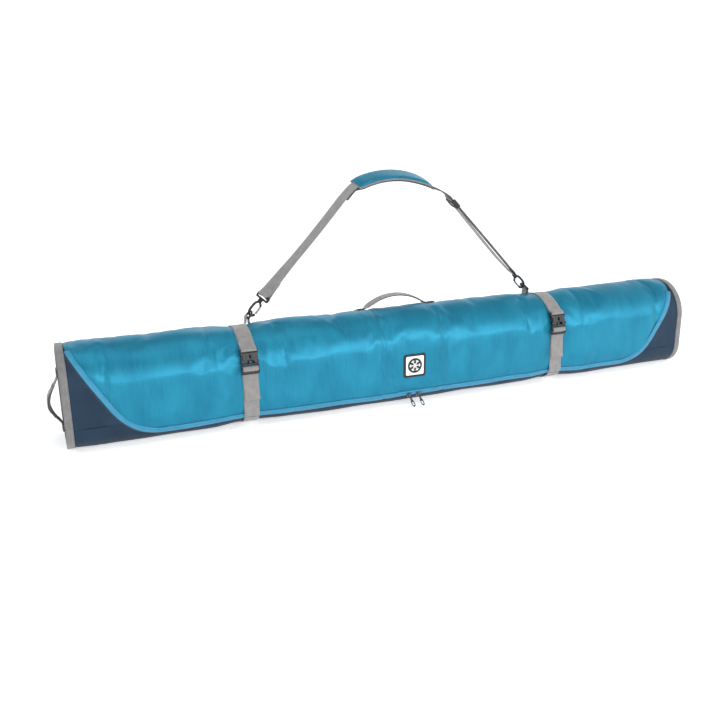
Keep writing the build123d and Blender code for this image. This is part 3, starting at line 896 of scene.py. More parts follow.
def under(name, low, high, inset, material, rows=60, cols=170):
    """A layer under the lid between two depths, drawn in from the zip by an inset."""
    x, s = lid_grid(rows, cols)
    x, s = x * (1 - inset / HALF), BACK_S + (s - BACK_S) * (1 - inset / (ZIP_S - BACK_S))
    return shell(name, hug(x, s, high), hug(x, s, low), np.stack([x, s], -1), material)


attach(under("lid_foam_layer", *FOAM_DEPTHS, 3 * MM, FOAM), LID_FOLD, "foam", "lid_foam")
attach(under("lid_lining_layer", *LINING_DEPTHS, 2 * MM, LINING), LID_FOLD, "lining", "lid_lining")

# %% [markdown]
# ## The base
# The navy cloth wraps from the back seam down the back, under the bag and up to the zip. At each end of
# the front a triangular panel fills the corner behind the rising zip, joined along a low seam.

# %% Base
def base_front(x):
    """s of the base cloth's front edge: just past the zip, but no higher than the low seam."""
    return np.maximum(front_s(zip_height(x)) + 2 * MM, ARC + SIDE)


def base_layer(name, low, high, material, rows=110, cols=340, reach=END_X + 4 * MM):
    """The wrap between two depths: s runs from the back seam, down, under and up to the front edge."""
    x = np.broadcast_to(np.linspace(-reach, reach, cols)[None], (rows, cols))
    finish_s = base_front(x) - GIRTH
    s = BACK_S + (finish_s - BACK_S) * np.linspace(0, 1, rows)[:, None]
    return shell(name, hug(x, s, high), hug(x, s, low), np.stack([x, s], -1), material)


def corner_layer(name, sign, low, high, material, rows=50, cols=50):
    """A front corner: s from where the zip meets the binding down to the low seam, x from the zip out."""
    top = float(front_s(zip_height(END_X))) + 2 * MM
    s = np.linspace(top, ARC + SIDE + 2 * MM, rows)[:, None]
    first = zip_reach(s) + 2 * MM
    x = sign * (first + (END_X + 4 * MM - first) * np.linspace(0, 1, cols)[None])
    s = np.broadcast_to(s, x.shape)
    return shell(name, hug(x, s, high), hug(x, s, low), np.stack([x, s], -1), material)


base_cover = base_layer("base_cover", -CLOTH, 0.0, NAVY)
attach(base_cover, "bag_base", "navy_fabric", "bottom_panel", "back_panel")
for sign, name in ((-1, "left"), (1, "right")):
    corner = corner_layer(f"front_corner_cloth_{name}", sign, -CLOTH, 0.3 * MM, NAVY)
    attach(corner, "bag_base", "navy_fabric", f"front_corner_{name}")
    attach(corner_layer(f"front_corner_foam_{name}", sign, *FOAM_DEPTHS, FOAM), "bag_base", "foam")
    attach(corner_layer(f"front_corner_lining_{name}", sign, *LINING_DEPTHS, LINING), "bag_base",
           "lining")
attach(base_layer("base_foam_layer", *FOAM_DEPTHS, FOAM, 70, 170), "bag_base", "foam", "base_foam")
attach(base_layer("base_lining_layer", *LINING_DEPTHS, LINING, 70, 170), "bag_base", "lining",
       "base_lining")

# %% [markdown]
# ## Ends
# Each end is a padded navy panel, slightly domed, whose edge and the body's edge are wrapped together
# in a grey ribbed binding. The dome is rings of the section drawn in towards the middle.

# %% End pads and bindings
ring_s = np.linspace(-GIRTH / 2, GIRTH / 2, 240, endpoint=False)
ring_y, ring_z, ring_ny, ring_nz = section(ring_s)
MIDDLE = np.array([0.0, TALL / 2])


def end_pad(name, sign, faces_at, thick, dome, depth, material):
    """A domed disc: rings at share r of the way out, at x = faces_at + dome * (1 - r^2) outside."""
    edge = np.stack([ring_y - ring_ny * depth, ring_z - ring_nz * depth], 1) - MIDDLE
    r = np.concatenate([np.linspace(0.02, 1, 24), np.linspace(0.995, 0.02, 12)])
    front = np.concatenate([np.ones(24), np.zeros(12)])
    x = faces_at - thick * (1 - front) + dome * (1 - r**2) * np.where(front > 0, 1, 0.6)
    yz = MIDDLE + r[:, None, None] * edge[None]
    x = np.broadcast_to(sign * x[:, None], yz.shape[:2])
    uv = np.stack([yz[..., 0], yz[..., 1]], -1)
    return carry(name, np.concatenate([x[..., None], yz], -1), material, uv)


def binding(name, sign, material):
    """A U of tape round the end: outside the body, over the edge and onto the pad."""
    u = np.array([[-15.5, 0.2], [-15.8, 0.9], [-15.2, 1.5], [-8, 1.8], [-2, 1.8], [0.4, 1.2], [1.0, -0.6],
                  [1.0, -4], [0.9, -9], [0.5, -11.6], [-0.6, -11.8], [-0.9, -9], [-0.8, -4], [-0.9, -1.2],
                  [-2.2, 0.1], [-8, 0.2]]) * MM
    loops = hug(sign * (HALF - 0.6 * MM + u[None, :, 0]), ring_s[:, None], u[None, :, 1])
    run = np.broadcast_to(ring_s[:, None], loops.shape[:2])
    wide = np.broadcast_to(u[None, :, 0] - u[None, :, 1], loops.shape[:2])
    return carry(name, loops, material, np.stack([run, wide], -1), closed=True)


for sign, name in ((-1, "left"), (1, "right")):
    pad = end_pad(f"end_pad_{name}", sign, HALF - 3 * MM, 6.5 * MM, 4 * MM, 2 * MM, NAVY)
    attach(pad, "bag_base", "navy_fabric", f"end_panel_{name}")
    attach(binding(f"binding_tape_{name}", sign, BINDING), "bag_base", "grey_webbing", f"binding_{name}")
    rows = []
    for shift, lift in ((-12.5, 1.9), (0.55, -9.5)):
        row = hug(np.full(241, sign * (HALF + shift * MM)), np.append(ring_s, ring_s[0] + GIRTH),
                  lift * MM)
        rows.append(row)
    attach(stitches(f"binding_stitches_{name}", rows, GREY_THREAD), "bag_base", "grey_webbing")

# %% [markdown]
# ## Edge tape, zip tapes and teeth
# A bright folded tape edges the lid, with a stitched groove along it, and reaches a little over the zip,
# so that rain runs off it. Under it is a coil zip: two knitted tapes, each with a row of nylon teeth that
# mesh at the line and show when the lid is open.

# %% Tapes along the zip
EDGE = MM * np.array([
    [-9.6, 0.2], [-9.2, 1.5], [-8, 2.6], [-6.2, 2.9], [-4.9, 2.5], [-3.6, 3.4], [-1, 3.8], [1.6, 3.6],
    [2.8, 3.1], [3.0, 2.5], [2.4, 2.4], [-3.2, 2.4], [-4.4, 1.2], [-6, 0.3], [-9, 0.1]])
trimmed = ZIP_LINE[3:-3]
attach(lay("edge_tape_strip", trimmed, EDGE, EDGING), "lid", "edge_tape", "edge_tape")
attach(lay("lid_zip_strip", trimmed, flat_profile(-5 * MM, -0.5 * MM, 0.0, 0.9 * MM, 3), ZIP_CLOTH),
       "lid",
       "zip_tape", "lid_zip_tape")
attach(lay("base_zip_strip", trimmed, flat_profile(0.5 * MM, 7 * MM, 0.0, 0.9 * MM, 3), ZIP_CLOTH),
       "bag_base",
       "zip_tape", "base_zip_tape")


def beside(line, aside, lift):
    """A path on the bag at a distance to the side of a line of (x, s)."""
    ahead = tangents(line)
    return hug(line[:, 0] - aside * ahead[:, 1], line[:, 1] + aside * ahead[:, 0], lift)


def teeth(name, aside, shift, pitch, material):
    """A row of coil loops: each is a six-sided bar square to the zip, 2.6 mm long, on the tape."""
    spots, ways = seeds(beside(trimmed, aside, 1.5 * MM), pitch)
    spots = spots + ways * shift
    far, _ = seeds(beside(trimmed, aside + 1.0 * MM, 1.5 * MM), pitch)
    out = far[: len(spots)] + ways * shift - spots[: len(far)]
    out = out / np.linalg.norm(out, axis=1, keepdims=True)
    wire, rings = 0.62 * MM, [(-1.3, 0.45), (-0.9, 1.0), (0.9, 1.0), (1.3, 0.45)]
    return small_bars(name, spots, out * MM, ways * wire, np.cross(ways, out) * wire * 1.15, rings,
                      material)


attach(teeth("lid_zip_teeth", -0.9 * MM, 0.0, 2.0 * MM, COIL), "lid", "zip_tape")
attach(teeth("base_zip_teeth", 0.9 * MM, 1.0 * MM, 2.0 * MM, COIL), "bag_base", "zip_tape")
attach(stitches("edge_tape_stitches", [beside(trimmed, -10.6 * MM, 0.5 * MM),
                                       beside(trimmed, -4.9 * MM, 2.7 * MM)],
                BLUE_THREAD), "lid", "edge_tape")
seam_rows = []
for x in (-SEAM_X - 3.5 * MM, -SEAM_X + 3.5 * MM, SEAM_X - 3.5 * MM, SEAM_X + 3.5 * MM):
    s = np.linspace(BACK_S + 4 * MM, ZIP_S - 18 * MM, 90)
    seam_rows.append(hug(np.full(90, x), s, 0.35 * MM))
attach(stitches("centre_seam_stitches", seam_rows, BLUE_THREAD), LID_FOLD, "blue_fabric")
back_x = np.linspace(-END_X, END_X, 500)
back_seam = lay("back_seam_piping", np.stack([back_x, np.full(500, BACK_S)], 1),
                flat_profile(-2.6 * MM, 2.6 * MM, -0.6 * MM, 1.5 * MM, 4), NAVY)
attach(back_seam, "bag_base", "navy_fabric")
attach(stitches("back_seam_stitches", [hug(back_x, BACK_S + 5 * MM, 0.3 * MM)], BLUE_THREAD), "bag_base",
       "blue_fabric")

# %% [markdown]
# ## Compression straps
# Each strap is three lengths of webbing. One lies under and behind the bag. One comes over the top and
# is folded round the bar of the socket and sewn to itself. The last comes up from the zip, through the
# plug and back down as a loose tail. Near the buckle a path is easiest to give in the buckle's own plane,
# as (v up the strap, w outwards), and elsewhere as s on the bag.

# %% Buckle plane and strap paths
LEAN = math.asin(22 / 93)
OUT = ROUND + 0.4 * MM
BUCKLE_AT = np.array([-OUT * math.cos(LEAN), CENTRE_Z + OUT * math.sin(LEAN)])
UP_WAY = np.array([math.sin(LEAN), math.cos(LEAN)])
OUT_WAY = np.array([-math.cos(LEAN), math.sin(LEAN)])
BOW = 1 / (2 * 0.14)
WEB_LOOP = flat_profile(-WEB / 2, WEB / 2, -WEB_THICK / 2, WEB_THICK / 2, 7)


def in_plane(points):
    """(y, z) of (v, w) in millimetres; the buckle is bent to a 140 mm radius, so w drops by BOW v^2."""
    v, w = (np.array(points, float) * MM).T
    return BUCKLE_AT + v[:, None] * UP_WAY + (w - BOW * v**2)[:, None] * OUT_WAY


def on_bag(x, s, lift):
    """(y, z) on the bag at several s."""
    return hug(np.full(len(s), x), s, lift)[:, 1:]


def strap_lift(s):
    """Middle of the webbing above the skin: half its thickness, raised where it crosses the edge tape."""
    hump = smooth((s - 236 * MM) / (14 * MM)) * smooth((290 * MM - s) / (22 * MM))
    return WEB_THICK / 2 + 0.15 * MM + 3.9 * MM * hump


def strap_over(x):
    """Over the top, straight to the socket's bar, round it and back up along itself."""
    bar = in_plane([(33.4, 0.7)])[0]
    gap = bar - [0, CENTRE_Z]
    near = ROUND - TRENCH + strap_lift(0.0)
    turn = math.atan2(-gap[0], gap[1]) - math.acos(near / np.linalg.norm(gap))
    s = np.linspace(BACK_S + 6 * MM, ROUND * turn, 30)
    touch = np.array([-near * math.sin(turn), CENTRE_Z + near * math.cos(turn)])
    way = (touch - bar) / np.linalg.norm(touch - bar)
    out = np.array([-way[1], way[0]]) if way[0] > 0 else np.array([way[1], -way[0]])
    out = out * np.sign(out @ OUT_WAY)
    loop = in_plane([(31, 0.6), (28.6, 1.4), (27.9, 4.8), (28.9, 8.9), (31.9, 10.2), (35.0, 8.8)])
    back = bar + np.array([[9], [18], [27], [34]]) * MM * way + 1.95 * MM * out
    free = bar + np.array([[20], [10], [0]]) * MM * way
    yz = np.vstack([on_bag(x, s, strap_lift(s)), free, loop, back])
    seam = bar + np.array([[22.0], [23.0]]) * MM * way + 3.0 * MM * out
    path = smooth_path(np.insert(yz, 0, x, axis=1))
    return path, np.insert(seam, 0, x, axis=1)


def strap_low(x, drift):
    """Up from the zip, behind the plug, over its middle bar, under its end bar, and down as a tail."""
    s = np.linspace(ZIP_S - 1 * MM, 158 * MM, 40)
    rise = in_plane([(-21, -3.4), (-14, -1.6), (-9.6, 0.6), (-7.9, 3.8), (-8.8, 7.6), (-12.2, 9.3),
                     (-15.8, 9.1), (-18.2, 6.6), (-19.6, 3.0), (-22.4, 0.2), (-27, -0.6)])
    end = np.linspace(163 * MM, ARC + CENTRE_Z - 72 * MM, 16)
    droop = 3.1 * MM + 1.6 * MM * np.linspace(0, 1, 16) ** 2
    yz = np.vstack([on_bag(x, s, strap_lift(s)), rise, on_bag(x, end, droop)])
    shift = np.concatenate([np.zeros(len(s) + len(rise)), drift * np.linspace(0, 1, 16)])
    return smooth_path(np.column_stack([x + shift, yz]))


under_s = np.linspace(BACK_S + 5 * MM, ZIP_S - GIRTH + 1 * MM, 130)
for sign, name in ((-1, "left"), (1, "right")):
    x = sign * STRAP_X
    yz = on_bag(x, under_s, strap_lift(np.where(under_s < -GIRTH / 2, under_s + GIRTH, 0.0)))
    yz[:, 1] = np.maximum(yz[:, 1], WEB_THICK / 2 + 0.2 * MM)
    under_path = smooth_path(np.insert(yz, 0, x, axis=1), 3 * MM)
    attach(ribbon(f"strap_under_{name}", under_path, (1, 0, 0), WEB_LOOP, WEBBING), "bag_base",
           "grey_webbing", f"back_strap_{name}")
    over_path, seam = strap_over(x)
    attach(ribbon(f"strap_over_{name}", over_path, (1, 0, 0), WEB_LOOP, WEBBING), LID_FOLD,
           "grey_webbing", f"upper_strap_{name}")
    row = np.linspace(seam[0] - [16 * MM, 0, 0], seam[0] + [16 * MM, 0, 0], 20)
    rows = [row, row + 5 * (seam[1] - seam[0])]
    attach(stitches(f"strap_stitches_{name}", rows, GREY_THREAD), "lid", "grey_webbing")
    low_path = strap_low(x, 2.5 * MM)
    zone = ("bag_base", f"strap_end_{name}", (x, -0.09, 0.024), (x, -0.09, 0.040))
    attach(ribbon(f"strap_low_{name}", low_path, (1, 0, 0), WEB_LOOP, WEBBING), zone,
           "grey_webbing", f"lower_strap_{name}", f"strap_tail_{name}")

# %% [markdown]
# ## Side-release buckles
# A socket is two thin walls joined at the sides and at a bar; its front has a drop-shaped window and an
# arched mouth. The plug is a frame with two slots, and its two spring arms catch in the socket's side
# notches, where fingers squeeze them. All of it is flat mouldings with small rounded edges.

# %% Buckles
def both_sides(half):
    """An outline from its right half, given from the bottom up, mirrored."""
    half = np.array(half, float)
    return np.vstack([half, (half * [-1, 1])[::-1]]) * MM


def arch(wide, low, high, count=9):
    """Half ellipse whose foot is on low, as an outline's points from right to left."""
    turn = np.linspace(0, math.pi, count)
    return np.stack([wide * np.cos(turn), low + (high - low) * np.sin(turn)], 1)


def drop_window(centre, radius, tip, count=14):
    """Drop shape: most of a circle, closed by a point above it."""
    turn = np.linspace(math.radians(150), math.radians(390), count)
    round_part = np.stack([radius * np.cos(turn), centre + radius * np.sin(turn)], 1)
    return np.vstack([round_part, [[0, tip]]]) * MM


def socket_face(mouth):
    """Front or back wall: notched sides, and an arch cut up from the mouth."""
    right = [(21.0, 0.6), (22, 2.2), (22, 7.0), (18.0, 9.6), (17.4, 17.6), (21.2, 20.8), (21.6, 25.6)]
    rim = np.array(right + [(-a, b) for a, b in right[::-1]], float)
    return np.vstack([rim, arch(mouth, 0.6, 8.4)[::-1]]) * MM


def buckle_parts(sign, name):
    """The socket, the plug and the two arms of one buckle, in their places."""
    place = placing((sign * STRAP_X, *BUCKLE_AT), (1, 0, 0), (0, *UP_WAY))
    block = rounded(43.6 * MM, 10.6 * MM, 2.5 * MM, (0, 29.1 * MM))
    slot = rounded(39 * MM, 3.6 * MM, 1.2 * MM, (0, 28.2 * MM))
    walls = [
        plate("front", [socket_face(10.5), drop_window(14.6, 3.3, 22.4)], (7.4, 10.4, 0.7), place,
              PLASTIC, BOW),
        plate("back", [socket_face(9.0)], (0.9, 3.0, 0.7), place, PLASTIC, BOW),
        plate("bar", [block, slot], (2.2, 8.4, 1.0), place, PLASTIC, BOW),
    ]
    for side in (-1, 1):
        leg = rounded(3.8 * MM, 7.0 * MM, 1.2 * MM, (side * 19.8 * MM, 4.0 * MM))
        walls.append(plate("leg", [leg], (2.0, 8.6, 0.5), place, PLASTIC, BOW))
        rib = rounded(1.8 * MM, 12 * MM, 0.8 * MM, (side * 8.6 * MM, 16.6 * MM))
        walls.append(plate("rib", [rib], (9.8, 11.2, 0.4), place, PLASTIC, BOW))
    attach(join(f"buckle_shell_{name}", walls), "lid", "black_plastic", f"buckle_socket_{name}")

    frame_rim = rounded(43.6 * MM, 26.2 * MM, 3.2 * MM, (0, -13.4 * MM))
    slots = [rounded(36 * MM, 7.2 * MM, 1.6 * MM, (0, -8.0 * MM)),
             rounded(38.5 * MM, 5.6 * MM, 1.6 * MM, (0, -19 * MM))]
    lip = rounded(43.6 * MM, 4.6 * MM, 2.0 * MM, (0, -24.1 * MM))
    root = rounded(41 * MM, 4.4 * MM, 1.4 * MM, (0, -2.6 * MM))
    guide = rounded(6.4 * MM, 13 * MM, 2.4 * MM, (0, 5.2 * MM))
    parts = [
        plate("frame", [frame_rim, *slots], (1.6, 6.6, 1.0), place, PLASTIC, BOW),
        plate("lip", [lip], (1.2, 8.0, 1.4), place, PLASTIC, BOW),
        plate("root", [root], (2.4, 8.4, 0.9), place, PLASTIC, BOW),
        plate("guide", [guide], (3.8, 7.0, 0.8), place, PLASTIC, BOW),
    ]
    attach(join(f"buckle_prong_{name}", parts), f"strap_end_{name}", "black_plastic",
           f"buckle_plug_{name}")
    for side, letter in ((-1, "a"), (1, "b")):
        arm = np.array([(11.2, -1.6), (16.6, -1.6), (16.4, 6.6), (20.9, 9.8), (21.2, 15.8), (18.6, 19.8),
                        (14.0, 21), (11.8, 19.6), (12.2, 10.0)])[:: side] * [side, 1] * MM
        catch = plate(f"buckle_catch_{name}_{letter}", [arm], (3.6, 7.2, 0.7), place, PLASTIC, BOW)
        attach(catch, f"arm_{name}_{letter}", "black_plastic", f"buckle_arm_{name}_{letter}")


for sign, name in ((-1, "left"), (1, "right")):
    buckle_parts(sign, name)

# %% [markdown]
# ## Label
# A moulded rubber patch with a stitched dark border. Its motif is a plain snowflake of three bars and
# six small chevrons on a dark disc.

# %% Label
def turned(outline, angle):
    """An outline turned about the origin."""
    c, s = math.cos(angle), math.sin(angle)
    return outline @ np.array([[c, s], [-s, c]])


low_corner, high_corner = (np.array(c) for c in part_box("label_border"))
label_mid = (low_corner + high_corner) / 2
skin = float(hug(np.array([label_mid[0]]), np.array([LABEL_S]))[0, 1])
place = placing((label_mid[0], skin, label_mid[2]), (1, 0, 0), (0, 0, 1))
edge = high_corner[0] - low_corner[0]
border = plate("label_rim", [rounded(edge, edge, 6 * MM, steps=8)], (-0.4, 1.5, 0.5), place, RUBBER_BLACK)
attach(border, "lid", "black_plastic", "label_border")
field = rounded(edge - 12 * MM, edge - 12 * MM, 3.5 * MM, steps=8)
face = plate("label_field", [field], (1.0, 1.9, 0.3), place, RUBBER_WHITE)
attach(face, "lid", "label_white", "label_face")
disc = plate("label_disc", [circle(20 * MM, 48)], (1.6, 2.2, 0.2), place, RUBBER_BLACK)
attach(disc, "lid", "black_plastic")
FLAKE_HEIGHTS, SIXTH = (1.9, 2.6, 0.2), math.pi / 3
bar = rounded(31 * MM, 2.6 * MM, 1.2 * MM)
chevron = np.array([(8.0, 0), (12.6, 4.6), (14.2, 3.2), (11.0, 0), (14.2, -3.2), (12.6, -4.6)]) * MM
flake = [plate("bar", [turned(bar, k * SIXTH)], FLAKE_HEIGHTS, place, RUBBER_WHITE) for k in range(3)]
flake += [plate("chevron", [turned(chevron, k * SIXTH)], FLAKE_HEIGHTS, place, RUBBER_WHITE)
          for k in range(6)]
attach(join("label_snowflake", flake), "lid", "label_white")
square = rounded(edge - 5.6 * MM, edge - 5.6 * MM, 4.5 * MM, steps=6)
square = np.vstack([square, square[:1]])
row = np.column_stack([label_mid[0] + square[:, 0], np.full(len(square), skin - 1.55 * MM),
                       label_mid[2] + square[:, 1]])
attach(stitches("label_stitches", [smooth_path(row, 2 * MM)], BLACK_THREAD, 3.6 * MM, 2.6 * MM), "lid",
       "black_plastic")

# %% [markdown]
# ## Sliders and pullers
# Two cast sliders meet in the middle. Each is a shield-shaped top plate with a bridge, and a flat puller
# with an oval eye swings on the bridge.

# %% Zip sliders
drop_y = (ZIP_S - ARC - SIDE) / HEEL
up_skin = np.array([0, -math.sin(drop_y), math.cos(drop_y)])
for sign, name in ((-1, "left"), (1, "right")):
    low_c, high_c = (np.array(c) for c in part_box(f"zip_slider_{name}"))
    x = (low_c[0] + high_c[0]) / 2
    seat = hug(np.array([x]), np.array([ZIP_S + 2 * MM]), 0.0)[0]
    place = placing(seat, (1, 0, 0), up_skin)
    shield = np.array([(-6.2, 6.4), (-6.8, 0), (-4.4, -7.4), (4.4, -7.4), (6.8, 0), (6.2, 6.4),
                       (2.4, 8.6), (-2.4, 8.6)]) * MM
    top = plate("top", [shield[::-1]], (4.3, 6.1, 0.5), place, NICKEL)
    waist = plate("waist", [rounded(4 * MM, 9 * MM, 1.5 * MM)], (0.2, 4.6, 0.3), place, NICKEL)
    bridge_path = np.array([(0, -4.6, 5.4), (0, -4.2, 7.8), (0, -1.6, 9.2), (0, 1.6, 9.2), (0, 4.2, 7.8),
                            (0, 4.8, 5.4)]) * MM
    bridge_path = smooth_path(np.array([place @ Vector(p) for p in bridge_path]), 0.8 * MM)
    bridge = tube("bridge", bridge_path, 1.7 * MM, NICKEL, flatten=0.55)
    attach(join(f"zip_slide_{name}", [top, waist, bridge]), f"slider_{name}", "zip_metal",
           f"zip_slider_{name}")

    low_c, high_c = (np.array(c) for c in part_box(f"zip_puller_{name}"))
    joint = JOINTS[f"puller_swing_{name}"]["pos_m"]
    tip = np.array([0, low_c[1] - joint[1], low_c[2] - joint[2] + 1.0 * MM])
    place = placing(joint, (1, 0, 0), tip)
    long = float(np.linalg.norm(tip))
    right = [(2.6, -2.6), (3.6, -1.2), (3.4, 4.0), (2.4, 8.5), (2.6, 15), (4.4, 21), (4.6, 30),
             (3.4, 35.5), (1.4, long / MM - 0.6)]
    eye = rounded(3.4 * MM, 3.6 * MM, 1.3 * MM, (0, 0.6 * MM))
    hole = rounded(4.6 * MM, 11 * MM, 2.2 * MM, (0, 28 * MM), 8)
    pull = plate(f"zip_pull_{name}", [both_sides(right), eye, hole], (-1.1, 1.1, 0.6), place, NICKEL)
    attach(pull, f"puller_{name}", "zip_metal", f"zip_puller_{name}")

# %% [markdown]
# ## Handles
# The top handle is one length of webbing with a darker web sewn inside its arch. Its ends lie flat on
# the bag and are sewn there. The end handle is made the same way, on the left end.

# %% Top handle
ARCH_END, ARCH_RISE = 79.5 * MM, 26.0 * MM
HANDLE_Z = 240.5 * MM
ARCH_R = (ARCH_END**2 + ARCH_RISE**2) / (2 * ARCH_RISE)


def arch_points(sink, count=15):
    """(x, z) of the handle's arch, a circle through its two ends and its top, sunk inwards."""
    turn = np.linspace(-1, 1, count) * math.asin(ARCH_END / ARCH_R)
    high = HANDLE_Z + ARCH_RISE - ARCH_R
    return np.stack([(ARCH_R - sink) * np.sin(turn), high + (ARCH_R - sink) * np.cos(turn)], 1)


LIE_S = -ROUND * math.asin(TOP_Y / ROUND)
LIE_TILT = math.asin(TOP_Y / ROUND)


def lying(x, lift):
    """A point on the skin at x along the line where the handle and the rings are sewn, lifted off it."""
    return hug(np.array([x]), np.array([LIE_S]), lift)[0]


def handle_path(lift, reach):
    """Foot, rise, arch, and down to the other foot; the feet lie at lift above the skin."""
    feet = [lying(x, lift) for x in (-reach, -reach / 2 - 46 * MM, -92 * MM)]
    rise = np.array([*feet, feet[-1] + [6 * MM, 0, 3.6 * MM]])
    arch_line = np.insert(arch_points(0.0)[1:-1], 1, TOP_Y, axis=1)
    path = smooth_path(np.vstack([rise, arch_line, (rise * [-1, 1, 1])[::-1]]), 2 * MM)
    tilt = LIE_TILT * (1 - smooth((path[:, 2] - feet[-1][2]) / (10 * MM)))
    return path, np.column_stack([np.zeros(len(path)), np.cos(tilt), -np.sin(tilt)])


GRIP_FOLD = ("bag_base", "top_grip", (0, TOP_Y, 0.2365), (0, TOP_Y, 0.2480))
path, across = handle_path(1.4 * MM, 110 * MM)
grip = ribbon("top_handle_web", path, across, flat_profile(-14 * MM, 14 * MM, -1.0 * MM, 1.0 * MM, 6),
              WEBBING)
attach(grip, GRIP_FOLD, "grey_webbing", "top_handle")
inner = arch_points(2.3 * MM)[1:-1]
inner = smooth_path(np.column_stack([inner[:, 0], np.full(len(inner), TOP_Y), inner[:, 1]]), 2 * MM)
inner_web = ribbon("top_handle_inner_web", inner, (0, 1, 0),
                   flat_profile(-11 * MM, 11 * MM, -1.1 * MM, 1.1 * MM, 5), DARK_WEB)
attach(inner_web, "top_grip", "dark_webbing")
patches, rows = [], []
for sign in (-1, 1):
    place = placing(lying(sign * 101 * MM, 0.0), (1, 0, 0), (0, math.cos(LIE_TILT), -math.sin(LIE_TILT)))
    patches.append(plate("patch", [rounded(22 * MM, 32 * MM, 2 * MM)], (0.3, 3.4, 0.5), place, DARK_WEB))
    box_path = rounded(17 * MM, 25 * MM, 1 * MM, steps=3)
    cross_a = np.array([(-8, -12), (8, 12)]) * MM
    for line in (np.vstack([box_path, box_path[:1]]), cross_a, cross_a * [-1, 1]):
        dense = smooth_path(line, 2 * MM)
        rows.append(np.array([place @ Vector((*point, 3.5 * MM)) for point in dense]))
attach(join("top_handle_patches", patches), "bag_base", "dark_webbing", "top_handle_feet")
attach(stitches("top_handle_stitches", rows, GREY_THREAD), "bag_base", "dark_webbing")

# %% [markdown]
# The end handle's web is folded round a stuffed core, which makes it a thick grip. It stands off the end
# in a crescent that hangs a little low.

# %% End handle
END_X_OUT = -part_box("end_handle")[0][0]
low_z, high_z = 50 * MM, 160 * MM


def end_path(sink):
    """Points up the left end: a flat foot, a crescent that bows out most below its middle, a foot."""
    wall, out = HALF + 2.4 * MM, END_X_OUT - 2.0 * MM - sink
    xz = np.array([
        (wall, low_z - 17 * MM), (wall, low_z - 6 * MM), (wall + 3.5 * MM, low_z + 4 * MM),
        (wall + 15 * MM, low_z + 19 * MM), (out - 2 * MM, low_z + 36 * MM), (out, 102 * MM),
        (out - 3.5 * MM, 120 * MM), (wall + 12 * MM, high_z - 21 * MM), (wall + 3 * MM, high_z - 5 * MM),
        (wall, high_z + 5 * MM), (wall, high_z + 17 * MM)])
    return smooth_path(np.column_stack([-xz[:, 0], np.zeros(len(xz)), xz[:, 1]]), 2 * MM)


SIDE_FOLD = ("bag_base", "end_grip", (-HALF - 3.5 * MM, 0, 0.105), (-HALF - 12 * MM, 0, 0.105))
end_web = ribbon("end_handle_web", end_path(0.0), (0, 1, 0),
                 flat_profile(-13 * MM, 13 * MM, -1 * MM, 1 * MM, 6), WEBBING)
attach(end_web, SIDE_FOLD, "grey_webbing", "end_handle")
# The core is a real stuffed part in the darker grey binding cloth. Its darker grey is partly painted
# shade for the dark inside of the grip.
core = end_path(3.7 * MM)
core = core[np.abs(core[:, 2] - 104 * MM) < 40 * MM]
core_loop = flat_profile(-10 * MM, 10 * MM, -2.7 * MM, 2.7 * MM, 5)
core_web = ribbon("end_handle_core", core, (0, 1, 0), core_loop, BINDING)
attach(core_web, SIDE_FOLD, "grey_webbing")
patches, rows = [], []
for z in (low_z - 11 * MM, high_z + 11 * MM):
    place = placing((-HALF - 1.2 * MM, 0, z), (0, -1, 0), (0, 0, 1))
    patches.append(plate("patch", [rounded(31 * MM, 17 * MM, 2 * MM)], (-1.5, 2.9, 0.5), place, BINDING))
    box_path = rounded(24 * MM, 11 * MM, 1 * MM, steps=3)
    dense = smooth_path(np.vstack([box_path, box_path[:1]]), 2 * MM)
    rows.append(np.array([place @ Vector((*point, 3.1 * MM)) for point in dense]))
attach(join("end_handle_patches", patches), "bag_base", "grey_webbing", "end_handle_feet")
attach(stitches("end_handle_stitches", rows, GREY_THREAD), "bag_base", "dark_webbing")

# %% [markdown]
# ## Shoulder strap
# Each leg starts at a D-ring held by a short tab. A snap hook turns in a loop frame, and webbing is
# looped through the frame. The right leg is doubled through a three-bar slide, which sets its length.
# Everything on a leg is drawn in the leg's own directions: a across, n outwards, and s up the leg.

# %% Leg directions
RING_X, RING_Z = 403 * MM, 245 * MM
LEG_TOPS = {-1: (-122 * MM, 548 * MM), 1: (150 * MM, 516 * MM)}
FRAME_LEAN = {-1: math.radians(26), 1: math.radians(9)}
STRAP_LEAN = {-1: math.radians(11), 1: math.radians(8)}
PAD_LEAN = math.radians(16)


def leg_ways(sign, lean=0.0):
    """Start, across, outward and up directions of a leg, and its length. The across direction turns by
    lean about the leg, its far edge outwards."""
    start_point = np.array([sign * RING_X, TOP_Y, RING_Z])
    top = np.array([LEG_TOPS[sign][0], TOP_Y, LEG_TOPS[sign][1]])
    up = (top - start_point) / np.linalg.norm(top - start_point)
    out, far = np.cross(up, [0, -sign, 0]), np.array([0.0, 1.0, 0.0])
    side_way = -sign * (math.cos(lean) * far + math.sin(lean) * out)
    out_way = math.cos(lean) * out - math.sin(lean) * far
    return start_point, side_way, out_way, up, float(np.linalg.norm(top - start_point))


def on_leg(sign, points, lean=0.0):
    """World points of (a, n, s) in millimetres on a leg."""
    start_point, side_way, out, up, _ = leg_ways(sign, lean)
    a, n, s = (np.array(points, float) * MM).T
    return start_point + a[:, None] * side_way + n[:, None] * out + s[:, None] * up


def flat_on_leg(sign, s, n=0.0, lean=0.0):
    """Placing of a plate drawn in (a, s) on a leg at a height."""
    start_point, side_way, out, up, _ = leg_ways(sign, lean)
    return placing(start_point + s * MM * up + n * MM * out, side_way, up)


print("legs:", [round(leg_ways(sign)[4], 4) for sign in (-1, 1)], "m long")

# %% [markdown]
# The D-rings and loop frames are thin moulded bars, closed into rings. A hook is a curved spine and a
# short crown with a gap between their tips, and a sprung steel gate closes the gap. Its stem has a cap
# and a collar, and turns in the frame's barrel.

